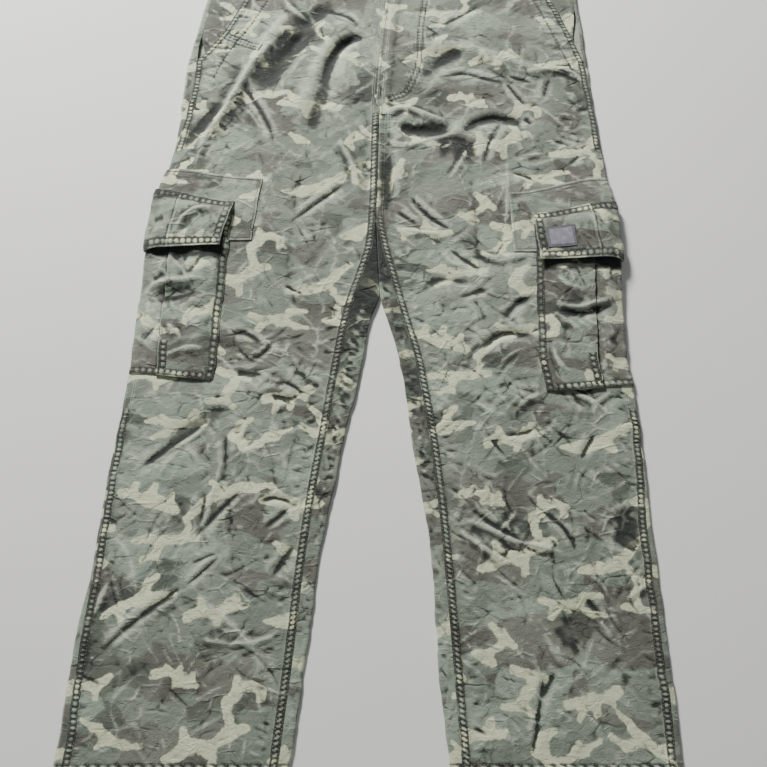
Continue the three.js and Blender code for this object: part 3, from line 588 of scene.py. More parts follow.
def make_reliefs():
    rng = np.random.default_rng(7)
    side_grid = np.where(XX < along("mid", YY), -1, 1)
    outer_l, edge_l = edge_distances("L", XX, YY)
    outer_r, edge_r = edge_distances("R", XX, YY)
    edge = np.where(side_grid < 0, edge_l, edge_r)
    broad = np.zeros_like(XX)
    for x, y, rx, ry, rise in SWELLS:
        broad += rise * np.exp(-(((XX - x) / rx) ** 2) - ((YY - y) / ry) ** 2)
    for path, width, rise in FOLDS:
        crease(broad, path, width, rise, taper=0.28, sharp=2.0)
    fine = np.zeros_like(XX)
    for path, width, rise, skew in CREASES:
        crease(fine, path, CREASE_SLIM * width, CREASE_LOW * rise, skew, taper=0.34)
    scatter(fine, rng, SCATTER)
    sprinkle(fine, rng, **SPRINKLE)
    for row in FEATHERS:
        feather(fine, rng, *row)
    fine += 2.4 * crumple(64, 21) + 0.7 * crumple(30, 22, 1.3) + 0.12 * crumple(13, 23)
    puckers = np.zeros_like(XX)
    for side, line, gap in FACE_LINES:
        d, far, _ = place(rounded(line), XX, YY)
        beads = 0.2 * np.cos(2 * np.pi * far / BEAD_PITCH + 1.2 * noise(far / 20, far * 0, 31))
        puckers += beads * bell(d, 6) - 0.6 * bell(np.abs(d) - gap / 2, 1.5)
    fine += puckers
    # The slant pockets' edges pucker between their two lines of stitching.
    for side in SIDES:
        inward = DIR[side] * (XX - mouth_edge(side, YY))
        band = smooth(0, 8, inward) * smooth(46, 26, inward) * smooth(430, 470, YY)
        fine += band * (1.1 * noise(YY / 7.5, inward / 26, 33) + 0.5 * noise(YY / 3.9, inward / 20, 34))
    # Under the cargo pockets the leg lies smooth.
    cover = np.zeros_like(XX)
    for side, reach in (("L", outer_l), ("R", outer_r)):
        for name in ("patch", "bag"):
            layer = layer_of(side, name)
            across = smooth(layer["reach_top"] + 1, layer["reach_top"] - 9, reach)
            upward = smooth(layer["low_in"] - 3, layer["low_in"] + 9, YY)
            upward = upward * smooth(layer["top_out"] + 3, layer["top_in"] - 6, YY)
            cover = np.maximum(cover, across * upward * (np.sign(XX) == -DIR[side]))
    calm = smooth(WAIST_SEAM, WAIST_SEAM - CALM_WAIST, YY) * smooth(HEM, HEM + CALM_HEM, YY)
    fine_calm = smooth(WAIST_SEAM - 4, WAIST_SEAM - 26, YY) * (0.35 + 0.65 * smooth(HEM + 16, HEM + 34, YY))
    broad = broad * calm * smooth(0, SETTLE_REACH, edge)
    fine = fine * fine_calm * (1 - 0.9 * cover) * (0.25 + 0.75 * smooth(0, 10, edge))
    top = broad + fine
    inner = spread_min(top, 7)

    under_rng = np.random.default_rng(8)
    under = np.zeros_like(XX)
    sprinkle(under, under_rng, **UNDER_SPRINKLE, only_up=True)
    for seam in ("inL", "inR"):
        feather(under, under_rng, seam, HEM, 60, 1 if seam == "inR" else -1, 1.2)
    room = smooth(3.4, 6.0, along("loft", YY) + spread_min(top, 2))
    under = np.clip(under, 0, 1.2) * room * smooth(8, 24, edge) * smooth(HEM, HEM + 30, YY)
    under *= smooth(WAIST_SEAM, WAIST_SEAM - 30, YY)
    # Painted shade: the large troughs and the broad shades darken the cloth's colour.
    painted_shade = np.zeros_like(XX)
    for path, width, rise in FOLDS:
        crease(painted_shade, path, SHADE_REACH * width, max(0, -rise - SHADE_FROM_DEPTH) / SHADE_FULL_DEPTH, taper=0.5, sharp=1.8)
    for path, width, share in SHADES:
        crease(painted_shade, path, width, share, taper=0.5, sharp=2.0)
    return {
        "top": top, "inner": inner, "under": under, "under_inner": -spread_min(-under, 5),
        "painted_shade": np.clip(painted_shade, 0, 2.2) * calm,
    }


def make_layer_relief(creases, seed, height):
    field = np.zeros_like(XX)
    for path, width, rise, skew in creases:
        crease(field, path, width, rise, skew, taper=0.34)
    rng = np.random.default_rng(seed)
    for x in (-245, 245):
        scatter(field, rng, [(x, 90, 34, 70, 46, 20, 60, 24, 2.6, height)])
    return field + height * (1.0 * crumple(26, seed) + 0.6 * crumple(12, seed + 1))


RELIEF = make_reliefs()
OUTER = ("top", "under")
INNER = ("inner", "under_inner")
BAG_RELIEF = make_layer_relief(BAG_CREASES, 41, 1.0)
FLAP_RELIEF = make_layer_relief(FLAP_CREASES, 45, 0.55)


# The skin of a leg. s is the distance from the outer fold edge: above zero over the top, below zero
# under the leg, and past the length over the top it goes round the inner fold edge.
def bed(side, x, y, under):
    reach = np.abs(x - along("out" + side, y))
    up = y - POCKETS[side]["drop"]
    pocket = 0.0
    for high, rise_from, rise_to, fall_from, fall_to in BEDS:
        pocket = pocket + high * smooth(rise_from, rise_to, up) * (1 - smooth(fall_from, fall_to, up))
    pocket = pocket * np.clip((BED_NONE - reach) / (BED_NONE - BED_FULL), 0, 1)
    base = np.maximum(WAIST_BED[0] * smooth(WAIST_BED[1], WAIST_BED[2], y), pocket)
    return base, base + sample(RELIEF[under], x, y)


def skin_height(side, x, y, relief):
    """Heights of the top and the underside."""
    _, edge = edge_distances(side, x, y)
    fall = 1 - EDGE_FALL * np.exp(-edge / EDGE_REACH)
    high = along("loft", y) * fall + sample(RELIEF[relief[0]], x, y)
    knee = LEAST_SPACE + 1
    high = np.where(high > knee, high, LEAST_SPACE + np.exp(np.minimum(high - knee, 0)))
    base, low = bed(side, x, y, relief[1])
    return base + high, low


def ring(side, y):
    edge, inner = along("out" + side, y), along("in" + side, y)
    cap = CAP_RATIO * along("loft", y)
    in_cap = np.where(y > CROTCH, 0.0, mix(0.5, 3.6, smooth(CROTCH, 150, y)))
    width = np.abs(inner - edge)
    arc, in_arc = cap * CAP_ARC, in_cap * CAP_ARC
    return edge, inner, cap, in_cap, arc, in_arc, width, arc + width - cap - in_cap + in_arc


def skin_point(side, y, s, relief):
    edge, inner, cap, in_cap, arc, in_arc, _, over = ring(side, y)
    way = DIR[side]
    on_cap = np.abs(s) < arc
    on_inner = (in_cap > 0) & (np.abs(s - over) < in_arc)
    below = (in_cap > 0) & (s > over)
    flat_x = np.where(
        below, inner - way * (in_cap + s - over - in_arc), edge + way * (cap + np.abs(s) - arc)
    )
    hub = np.where(on_cap, edge + way * cap, np.where(on_inner, inner - way * in_cap, flat_x))
    high, low = skin_height(side, hub, y, relief)
    turn = np.where(on_cap, s / arc, (over - s) / np.maximum(in_arc, 1e-6)) * math.pi / 2
    half = np.where(on_cap, cap * way, -in_cap * way)
    rounded_edge = on_cap | on_inner
    x = np.where(rounded_edge, hub - half * np.cos(turn), flat_x)
    z = np.where(
        rounded_edge, mix(low, high, (1 + np.sin(turn)) / 2), np.where((s > 0) & ~below, high, low)
    )
    return np.stack([x, y + 0 * x, z], -1)


def skin(side, y, s, lift, relief=OUTER):
    """Points of the skin moved out along its normal."""
    y, s, lift = np.broadcast_arrays(*(np.asarray(a, float) for a in (y, s, lift)))
    step = NORMAL_STEP
    across = skin_point(side, y, s + step, relief) - skin_point(side, y, s - step, relief)
    upward = skin_point(side, y + step, s, relief) - skin_point(side, y - step, s, relief)
    normal = np.cross(across, upward) * DIR[side]
    normal /= np.linalg.norm(normal, axis=-1, keepdims=True)
    return skin_point(side, y, s, relief) + normal * lift[..., None]


def top_s(side, y, x):
    """The s of a point on the top, from its x."""
    edge, inner, cap, in_cap, arc, in_arc, _, over = ring(side, y)
    from_outer, from_inner = DIR[side] * (x - edge), DIR[side] * (inner - x)
    out_share = np.arccos(np.clip(1 - from_outer / cap, -1, 1)) / (math.pi / 2)
    in_share = np.arccos(np.clip(1 - from_inner / np.maximum(in_cap, 1e-6), -1, 1)) / (math.pi / 2)
    s = arc + from_outer - cap
    s = np.where((in_cap > 0) & (from_inner < in_cap), over - in_share * in_arc, s)
    return np.where(from_outer < cap, out_share * arc, s)


def reach_s(side, y, reach):
    return top_s(side, y, along("out" + side, y) + DIR[side] * reach)


# The printed pattern: one repeat of faded blotches and pale branching strokes, drawn for this garment.
# A stroke is a run of (x, y, half width); each motif is a few strokes.
MOTIFS = [
    [[(0, 0, 4.5), (18, 4, 6), (36, -2, 5.5), (55, 3, 6), (72, 0, 4)], [(20, 4, 4.5), (22, 18, 3.6)],
     [(40, -2, 4.5), (36, -15, 3.6)], [(58, 3, 4.5), (64, 14, 3.6)]],
    [[(0, 12, 4), (8, 2, 5.5), (24, -2, 6), (38, 4, 5.5), (44, 16, 4.5), (36, 24, 4)],
     [(24, -2, 4), (30, -14, 3.6)]],
    [[(0, 0, 4), (20, 2, 5), (40, 0, 6), (58, 8, 4.5), (74, 10, 3.6)],
     [(40, 0, 5), (52, -12, 4.5), (68, -14, 3.6)], [(18, 2, 4), (12, 14, 3.6)]],
    [[(0, 0, 4), (14, 3, 6), (30, 1, 6.5), (46, 4, 6), (60, 0, 4.5)], [(14, 3, 4), (12, 13, 3.6)],
     [(30, 3, 4), (31, 15, 3.6)], [(46, 4, 4), (49, 13, 3.6)]],
    [[(18, 14, 4), (6, 10, 4.5), (2, 0, 5), (10, -10, 5), (24, -12, 5), (34, -4, 4.5),
      (46, -6, 4), (60, -2, 3.6)]],
    [[(0, 0, 5), (12, 2, 7), (26, 0, 5)]],
    [[(0, 0, 4), (16, 0, 5), (34, 2, 5)], [(16, 0, 5), (14, -14, 5), (18, -30, 5.5), (32, -36, 4)],
     [(18, -30, 4), (6, -36, 3.6)]],
    [[(0, 0, 3.4), (20, -6, 4.8), (44, -8, 5.4), (66, -2, 4.8), (84, 6, 3.4)], [(44, -8, 4), (52, -20, 3.6)]],
]
REPEAT_X, REPEAT_Y = 640, 520
MOTIF_STEP_X, MOTIF_STEP_Y = 91.4, 65
CUT_SHIFTS = {
    "front_L": (0, 0), "front_R": (312, -190), "back_L": (150, 260), "back_R": (470, 90),
    "patch_L": (60, 330), "patch_R": (500, 300), "bag_L": (230, 120), "bag_R": (90, 440),
    "flap_L": (410, 210), "flap_R": (20, 160), "facing_L": (330, 60), "facing_R": (560, 380),
    "band": (200, 20),
}


def make_print():
    x, y = np.meshgrid(np.arange(REPEAT_X, dtype=float), np.arange(REPEAT_Y, dtype=float), indexing="ij")
    fine = (40, 40)
    u, v = x / 16, y / 13
    warp_x = x + 3.2 * noise(u, v, 61, fine) + 1.2 * noise(2 * u, 2 * v, 62, (80, 80))
    warp_y = y + 3.2 * noise(u, v, 63, fine) + 1.2 * noise(2 * u, 2 * v, 64, (80, 80))
    cream = np.full(x.shape, -14.0)
    rng = np.random.default_rng(65)
    for row in range(round(REPEAT_Y / MOTIF_STEP_Y)):
        for column in range(round(REPEAT_X / MOTIF_STEP_X)):
            motif = MOTIFS[rng.integers(len(MOTIFS))]
            cx = (column + 0.5 * (row % 2)) * MOTIF_STEP_X + rng.uniform(-18, 18)
            cy = row * MOTIF_STEP_Y + rng.uniform(-14, 14)
            turn, size = rng.normal(0, 0.3), rng.uniform(0.8, 1.15)
            flip = (rng.choice([-1, 1]), rng.choice([-1, 1]))
            for stroke in motif:
                add_stroke(cream, warp_x, warp_y, stroke, (cx, cy), turn, size, flip)

    def blotches(seed, cut):
        a = x / 80 + 0.35 * noise(x / 40, y / 26, seed + 5, (16, 20))
        b = y / 40 + 0.35 * noise(x / 40, y / 26, seed + 6, (16, 20))
        value = noise(a, b, seed, (8, 13)) + 0.5 * noise(2 * a, 2 * b, seed + 1, (16, 26))
        value += 0.28 * noise(4 * a, 4 * b, seed + 2, (32, 52))
        return (value - cut) * 26

    tones = {"taupe": blotches(71, 0.02), "dark": blotches(81, 0.34), "pale": blotches(91, 0.42)}
    return {"cream": cream, **tones}


def add_stroke(field, warp_x, warp_y, stroke, centre, turn, size, flip):
    """Adds a stroke to a field of signed distances, above zero inside it."""
    c, s = math.cos(turn), math.sin(turn)
    points = []
    for px, py, half in stroke:
        px, py = (px - 36) * flip[0] * size, py * flip[1] * size
        points.append((centre[0] + c * px - s * py, centre[1] + s * px + c * py, half * size))
    margin = 26
    for (ax, ay, ar), (bx, by, br) in zip(points[:-1], points[1:]):
        rows = np.arange(int(min(ax, bx) - margin), int(max(ax, bx) + margin))
        cols = np.arange(int(min(ay, by) - margin), int(max(ay, by) + margin))
        cells = np.ix_(rows % REPEAT_X, cols % REPEAT_Y)
        x = warp_x[cells] + (rows - rows % REPEAT_X)[:, None]
        y = warp_y[cells] + (cols - cols % REPEAT_Y)[None, :]
        dx, dy = bx - ax, by - ay
        t = np.clip(((x - ax) * dx + (y - ay) * dy) / (dx * dx + dy * dy), 0, 1)
        inside = mix(ar, br, t) - np.hypot(x - ax - dx * t, y - ay - dy * t)
        field[cells] = 1.6 * np.logaddexp(field[cells] / 1.6, inside / 1.6)


PRINT = make_print()


def read_print(name, cut):
    """Reads the repeat at places of the flat cut, mm."""
    u, v = cut[..., 0] % REPEAT_X, cut[..., 1] % REPEAT_Y
    i, j = u.astype(int) % REPEAT_X, v.astype(int) % REPEAT_Y
    a, b = u - np.floor(u), v - np.floor(v)
    i1, j1 = (i + 1) % REPEAT_X, (j + 1) % REPEAT_Y
    return bilinear(PRINT[name], i, j, i1, j1, a, b)


# From the garment's coordinates to the frame's: the waistband's top and the button set the shift.
band_box, button_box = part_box("waistband"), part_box("waist_button")
BUTTON_X = float(along("mid", BAND_MIDDLE)) - OVER_LAP + BUTTON_FROM_END
SHIFT = np.array([
    (button_box[0][0] + button_box[1][0]) / 2 / MM - BUTTON_X, band_box[1][1] / MM - WAIST_TOP, 0.0
])


def normals(points):
    rows = np.gradient(points, axis=0)
    cols = np.gradient(points, axis=1)
    normal = np.cross(rows, cols)
    return normal / np.maximum(np.linalg.norm(normal, axis=-1, keepdims=True), 1e-9)


def proud(points, normal, k):
    """How far each point stands out from those k rows and columns away."""
    padded = np.pad(points, ((k, k), (k, k), (0, 0)), mode="edge")
    rows, cols = points.shape[:2]
    around = (
        padded[: rows, k : k + cols] + padded[2 * k :, k : k + cols]
        + padded[k : k + rows, : cols] + padded[k : k + rows, 2 * k :]
    ) / 4
    out = ((points - around) * normal).sum(-1)
    out[:k], out[-k:], out[:, :k], out[:, -k:] = 0, 0, 0, 0
    return out


def rim(dense, coarse):
    """Triangles between a border's fine and coarse vertices."""
    faces, half = [], INNER_STEP // 2
    for m in range(len(coarse) - 1):
        part = dense[m * INNER_STEP : (m + 1) * INNER_STEP + 1]
        for q in range(INNER_STEP):
            faces.append((part[q], part[q + 1], coarse[m + (q >= half)]))
        faces.append((part[half], coarse[m + 1], coarse[m]))
    return faces


def shell_faces(rows, cols):
    outer = np.arange(rows * cols).reshape(rows, cols)
    k = INNER_STEP
    in_rows, in_cols = (rows - 1) // k + 1, (cols - 1) // k + 1
    inner = rows * cols + np.arange(in_rows * in_cols).reshape(in_rows, in_cols)
    quads = [
        np.stack([outer[:-1, :-1], outer[1:, :-1], outer[1:, 1:], outer[:-1, 1:]], -1).reshape(-1, 4),
        np.stack([inner[:-1, :-1], inner[:-1, 1:], inner[1:, 1:], inner[1:, :-1]], -1).reshape(-1, 4),
    ]
    tris = rim(outer[0], inner[0]) + rim(outer[:, -1], inner[:, -1])
    tris += rim(outer[-1, ::-1], inner[-1, ::-1]) + rim(outer[::-1, 0], inner[::-1, 0])
    return np.vstack(quads), np.array(tris)


def mesh_object(name, points, quads, tris, attributes, material, sharp=None):
    """A shown object from points in garment millimetres."""
    corner = points[quads] if len(quads) else np.zeros((0, 4, 3))
    volume = (corner[:, 0] * np.cross(corner[:, 1], corner[:, 2])).sum()
    volume += (corner[:, 0] * np.cross(corner[:, 2], corner[:, 3])).sum()
    if len(tris):
        c3 = points[tris]
        volume += (c3[:, 0] * np.cross(c3[:, 1], c3[:, 2])).sum()
    if volume < 0:
        quads, tris = quads[:, ::-1], tris[:, ::-1]
    mesh = bpy.data.meshes.new(name)
    mesh.vertices.add(len(points))
    mesh.vertices.foreach_set("co", ((points + SHIFT) * MM).astype(np.float32).ravel())
    loops = np.concatenate([quads.ravel(), tris.ravel()]).astype(np.int32)
    starts = np.concatenate([np.arange(len(quads)) * 4, 4 * len(quads) + np.arange(len(tris)) * 3])
    mesh.loops.add(len(loops))
    mesh.loops.foreach_set("vertex_index", loops)
    mesh.polygons.add(len(starts))
    mesh.polygons.foreach_set("loop_start", starts.astype(np.int32))
    mesh.update(calc_edges=True)
    mesh.polygons.foreach_set("use_smooth", np.ones(len(starts), bool))
    for key, values in attributes.items():
        vector = values.ndim == 2
        made = mesh.attributes.new(key, "FLOAT_VECTOR" if vector else "FLOAT", "POINT")
        made.data.foreach_set("vector" if vector else "value", values.astype(np.float32).ravel())
    if sharp:
        mesh.set_sharp_from_angle(angle=math.radians(sharp))
    mesh.materials.append(material)
    made = bpy.data.objects.new(name, mesh)
    bpy.context.scene.collection.objects.link(made)
    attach(made, "root")
    return made


class Panel:
    """A cloth shell: its outer points and normals, and where each is on the flat cut."""

    def __init__(self, name, outer, inner, cut, marks, shift):
        self.outer, self.normal = outer, normals(outer)
        rows, cols = outer.shape[:2]
        quads, tris = shell_faces(rows, cols)
        k = INNER_STEP
        points = np.vstack([outer.reshape(-1, 3), inner.reshape(-1, 3)])
        corner = outer[:-1, :-1], outer[1:, :-1], outer[1:, 1:]
        tilt = np.cross(corner[1] - corner[0], corner[2] - corner[0])
        facing = tilt * (outer - mix_inner(inner, outer))[:-1, :-1]
        if facing.sum() < 0:
            self.normal = -self.normal
        # Tone shift: ridges that stand out are paled by wear and hollows are darkened as painted shade; the
        # marks add each piece's own painted shade and wear.
        tone_shift = 3.0 * np.minimum(proud(outer, self.normal, 1), 0.12) + 1.3 * proud(outer, self.normal, 3)
        tone_shift = tone_shift + 0.35 * proud(outer, self.normal, 6)
        tone_shift = tone_shift - np.median(tone_shift, axis=0) + marks
        place_cut = cut + np.array(CUT_SHIFTS[shift])
        both = np.concatenate([place_cut.reshape(-1, 2), place_cut[::k, ::k].reshape(-1, 2)])
        count_in = len(both) - rows * cols
        attributes = {key: read_print(key, both) for key in PRINT}
        attributes["tone_shift"] = np.concatenate([np.tanh(tone_shift).ravel(), np.zeros(count_in)])
        attributes["reverse"] = np.concatenate([np.zeros(rows * cols), np.ones(count_in)])
        attributes["cut"] = np.column_stack([both * MM, np.zeros(len(both))])
        self.object = mesh_object(name, points, quads, tris, attributes, TWILL, sharp=50)

    def trace(self, rows, cols):
        """Points and normals at fractional rows and columns."""
        rows = np.clip(rows, 0, self.outer.shape[0] - 1.001)
        cols = np.clip(cols, 0, self.outer.shape[1] - 1.001)
        i, j = rows.astype(int), cols.astype(int)
        a, b = (rows - i)[:, None], (cols - j)[:, None]
        return tuple(bilinear(field, i, j, i + 1, j + 1, a, b) for field in (self.outer, self.normal))

    def find(self, line):
        """Fractional rows and columns of points (x, y), on a panel with rows of falling y."""
        row_y = self.outer[:, self.outer.shape[1] // 2, 1]
        rows = np.interp(-line[:, 1], -row_y, np.arange(len(row_y)))
        cols = []
        for (x, _), row in zip(line, rows):
            xs = self.outer[int(round(row)), :, 0]
            order = np.argsort(xs)
            cols.append(np.interp(x, xs[order], order))
        return rows, np.array(cols)


def mix_inner(inner, outer):
    """The inside's points, one for each outer point, near enough to tell the two faces apart."""
    rows = np.minimum(np.round(np.arange(outer.shape[0]) / INNER_STEP).astype(int), inner.shape[0] - 1)
    cols = np.minimum(np.round(np.arange(outer.shape[1]) / INNER_STEP).astype(int), inner.shape[1] - 1)
    return inner[np.ix_(rows, cols)]


def window_low(values):
    """The lowest lift near each point of the inside's grid, so that the inside stays inside."""
    low = values.copy()
    for axis in (0, 1):
        base = np.pad(low, [(INNER_STEP, INNER_STEP) if a == axis else (0, 0) for a in (0, 1)], mode="edge")
        size = low.shape[axis]
        low = np.min([np.take(base, range(k, k + size), axis) for k in range(2 * INNER_STEP + 1)], 0)
    low[0], low[-1], low[:, 0], low[:, -1] = values[0], values[-1], values[:, 0], values[:, -1]
    return low


def laid_shell(name, side, y, s, lift, wall, cut, marks, shift):
    """A shell along the skin: y, s and lift for each outer point."""
    k = INNER_STEP
    outer = skin(side, y, s, lift)
    deep = (window_low(lift) - wall)[::k, ::k]
    inner = skin(side, y[::k, ::k], s[::k, ::k], deep, INNER)
    plain = skin(side, y[::k, ::k], s[::k, ::k], deep, OUTER)
    inner[0], inner[-1], inner[:, 0], inner[:, -1] = plain[0], plain[-1], plain[:, 0], plain[:, -1]
    return Panel(name, outer, inner, cut, marks, shift)


def columns(*knots):
    """Stations of each row: knots are (values over the rows, intervals to the next knot)."""
    parts = [
        a[:, None] + (b - a)[:, None] * (np.arange(n) / n)
        for (a, n), (b, _) in zip(knots[:-1], knots[1:])
    ]
    return np.concatenate(parts + [knots[-1][0][:, None]], 1)


def ladder(across, far, seed, pitch=BEAD_PITCH):
    """Relief and tone shift of a double-stitched seam, across from its middle and along it: pale worn bead tops,
    and painted shade between the beads and in the needle grooves.
    """
    beat = 2 * np.pi * far / pitch + 1.6 * noise(far / 31, far * 0, seed)
    bead = (0.5 + 0.5 * np.cos(beat)) ** (1.5 * (BEAD_PITCH / pitch) ** 2.2)
    strength = 0.8 + 0.45 * noise(far / 57, far * 0 + 9, seed)
    body = smooth(NEEDLE + 0.4, NEEDLE - 1.2, np.abs(across)) * strength
    groove = bell(np.abs(across) - NEEDLE, 1.1)
    relief = 0.55 * bead * body - 0.5 * groove
    tone_shift = (2.3 * bead - 1.75) * body - 2.5 * groove
    return relief, tone_shift


def edge_round(gap):
    return -0.4 * bell(gap, 0.8)


def panel_rows(spacing):
    hem_top = HEM + HEM_DEPTH
    count = 4 * round((WAIST_SEAM - hem_top) / spacing / 4)
    upper = np.linspace(WAIST_SEAM - SEAM_GAP, hem_top, count + 1)
    return np.concatenate([upper[:-1], np.linspace(hem_top, HEM, 13)])


def hem_relief(x, y, seed):
    """The hem's stitched-down edge and the slanting puckers below it."""
    up = y - HEM
    line = HEM_DEPTH - 2
    rope = np.sin(2 * np.pi * (x + 0.8 * up) / 11 + 1.5 * noise(x / 30, x * 0, seed))
    rope = rope * smooth(0, 5, up) * smooth(line + 3, line - 4, up)
    groove = bell(up - line, 1.3)
    relief = 0.35 * rope - 0.5 * groove + 0.35 * smooth(line + 1.5, line - 0.5, up) + edge_round(up)
    # The tone: a pale worn edge and rope tops, and painted shade in the groove and between the puckers.
    return relief, 0.45 * rope - 0.8 * groove + 0.5 * np.exp(-up / 1.5)


def front(side):
    y = panel_rows(FRONT_SPACING)
    way = DIR[side]
    edge = along("out" + side, y)
    outer = np.where(y > MOUTH_END, mouth_edge(side, y), edge + way * along("side" + side, y))
    inner = along("seam" + side, y)
    if side == FLY_SIDE:
        inner = mix(inner, along("mid", y) + way * FLY_LAP, smooth(FLY_END - 8, FLY_END, y))
    fell, slope = way * FELL_WIDTH, way * (FELL_WIDTH + FELL_SLOPE)
    x = columns(
        (outer, FELL_CELLS), (outer + fell, 4), (outer + slope, 100),
        (inner - slope, 4), (inner - fell, FELL_CELLS), (inner, 0),
    )
    yy = np.repeat(y[:, None], x.shape[1], 1)
    from_outer, from_inner = np.abs(x - outer[:, None]), np.abs(x - inner[:, None])
    hidden = smooth(HIDDEN_SEAM[0] - 8, HIDDEN_SEAM[0], yy) * smooth(HIDDEN_SEAM[1] + 8, HIDDEN_SEAM[1], yy)
    in_fly = smooth(FLY_SETTLE - 4, FLY_SETTLE + 4, yy)
    proud_inner = 1 - in_fly
    if side == FLY_SIDE:
        proud_inner = proud_inner * smooth(CROTCH + 6, CROTCH - 6, yy)
    lift = np.zeros_like(x)
    # The painted shade of the large folds darkens the front.
    marks = -sample(RELIEF["painted_shade"], x, yy)
    for gap, share, seed in ((from_outer, 1 - hidden, 101), (from_inner, proud_inner, 102)):
        slant = INSEAM_SLANT * (gap - FELL_WIDTH / 2) * (seed == 102)
        relief, tone_shift = ladder(gap - FELL_WIDTH / 2, yy + slant, seed + 10 * (side == "R"))
        lift += share * (FELL_RISE * smooth(FELL_WIDTH + FELL_SLOPE, FELL_WIDTH, gap) + relief)
        marks += share * tone_shift * (gap < FELL_WIDTH + 2)
        lift += edge_round(gap) * (1 - hidden if seed == 101 else 1)
    if side == FLY_SIDE:
        lift += (WALL + CLEAR) * in_fly * smooth(20, 8, from_inner)
        # A painted shadow beside the fly's lapped edge.
        marks -= 0.5 * in_fly * bell(from_inner - 3, 1.0)
    relief, tone_shift = hem_relief(x, yy, 103)
    lift += relief * (yy < HEM + HEM_DEPTH + 6)
    marks += tone_shift * (yy < HEM + HEM_DEPTH + 6)
    for line_side, line, gap in FACE_LINES:
        if line_side == side:
            d, far, _ = place(rounded(line), x, yy)
            # Painted shade along each row of stitching, and pale worn beads between a double row.
            marks -= 0.7 * bell(np.abs(d) - gap / 2, 1.1)
            beads = 0.25 + 0.2 * np.cos(2 * np.pi * far / BEAD_PITCH)
            marks += beads * bell(d, 2.5) * (gap > 0)
    wall = WALL + HEM_EXTRA * (yy <= HEM + HEM_DEPTH)
    panel = laid_shell(
        "twill_front_" + NAMES[side], side, yy, top_s(side, yy, x), lift, wall, np.stack([x, yy], -1), marks,
        "front_" + side,
    )
    panel.rows_y = y
    return panel


def back(side):
    y = panel_rows(BACK_SPACING)
    way = DIR[side]
    edge, inner, cap, in_cap, arc, in_arc, width, over = ring(side, y)
    start = -(reach_s(side, y, along("side" + side, y)) - SEAM_GAP)
    flat_to = arc + width - cap - np.where(in_cap > 0, in_cap, SEAM_GAP)
    seam_s = top_s(side, y, along("seam" + side, y) + way * SEAM_GAP)
    forked = in_cap > 0
    gather = 9
    turned = np.where(forked, flat_to, flat_to - gather)
    round_end = np.where(forked, flat_to + 2 * in_arc, flat_to - gather / 2)
    end = np.where(forked, flat_to + over + in_arc - seam_s, flat_to)
    w = columns((start, 8), (arc * 0, 4), (arc, 68), (turned, 8), (round_end, 12), (end, 0))
    yy = np.repeat(y[:, None], w.shape[1], 1)
    s = np.where(w <= flat_to[:, None] + 1e-9, -w, (over + in_arc + flat_to)[:, None] - w)
    relief, tone_shift = hem_relief(w, yy, 104)
    near_hem = yy < HEM + HEM_DEPTH + 6
    flat_under = (w > arc[:, None]) & (w < flat_to[:, None])
    lift = np.minimum(relief, 0.0) * near_hem * ~flat_under
    # Painted shade: a little over the whole back, and more on the strips between the inseams, which lie low and
    # turn from the light.
    fork = smooth(-8, 4, w - flat_to[:, None])
    painted_hollow_shade = smooth(128, 152, yy) + (0.45 * smooth(30, 70, yy) if side == "L" else 0)
    marks = tone_shift * near_hem - 0.25 - fork * (0.4 * smooth(-260, 60, yy) + 1.5 * painted_hollow_shade)
    # The centre back seam's two rows of stitching
    from_centre = flat_to[:, None] - w
    seat = smooth(CROTCH - 4, CROTCH + 4, yy)
    marks += seat * ladder(from_centre - FELL_WIDTH / 2, yy, 105)[1] * (from_centre < FELL_WIDTH + 2)
    wall = WALL + HEM_EXTRA * (yy <= HEM + HEM_DEPTH)
    cut = np.stack([w * way, yy], -1)
    panel = laid_shell("twill_back_" + NAMES[side], side, yy, s, lift, wall, cut, marks, "back_" + side)
    panel.rows_y, panel.w = y, w
    return panel


def layer_y(layer, v, s):
    reach = mix(layer["reach_top"], layer["reach_low"], v)
    out = smooth(reach, 0, s)
    top = mix(layer["top_in"], layer["top_out"], out)
    return mix(top, mix(layer["low_in"], layer["low_out"], out), v)


def layer_grid(side, layer, under, row_cells, top_cells, under_cells):
    v = np.linspace(0, 1, row_cells + 1)
    y = mix(layer["top_in"], layer["low_in"], v)
    arc = ring(side, y)[4]
    start = reach_s(side, y, mix(layer["reach_top"], layer["reach_low"], v))
    s = columns((start, top_cells), (arc, 12), (-arc, under_cells), (arc * 0 - under, 0))
    vv = np.repeat(v[:, None], s.shape[1], 1)
    return vv, s, layer_y(layer, vv, s), start


def relief_at(field, side, y, s):
    """A layer's own relief on the top, fading out round the outer fold edge."""
    edge, _, cap, _, arc, _, _, _ = ring(side, y)
    x = edge + DIR[side] * (cap + np.abs(s) - arc)
    return sample(field, x, y) * smooth(-20, 12, s)


def patch(side):
    layer = layer_of(side, "patch")
    vv, s, y, start = layer_grid(side, layer, PATCH_UNDER, 52, 60, 36)
    tall = layer["top_in"] - layer["low_in"]
    gap_in, gap_top = start[:, None] - s, vv * tall
    gap_low = (1 - vv) * tall
    rims = np.minimum(np.minimum(gap_in, gap_top), gap_low)
    groove = bell(rims - 3.2, 0.9)
    own = 0.35 * noise(s / 14, y / 9, 121) + 0.1 * noise(s / 7, y / 4.5, 122)
    own = own * smooth(0, 6, rims) * smooth(-10, 20, s)
    lift = CLEAR + WALL + np.maximum(own, -0.3) - 0.25 * groove + edge_round(rims)
    # Pale worn rims, and painted shade in the stitching groove.
    marks = 0.9 * np.exp(-rims / 1.2) - 0.8 * groove
    cut = np.stack([(start[:, None] - s) * -DIR[side], y], -1)
    panel = laid_shell("twill_patch_" + NAMES[side], side, y, s, lift, WALL, cut, marks, "patch_" + side)
    panel.s, panel.start, panel.tall = s, start, tall
    return panel


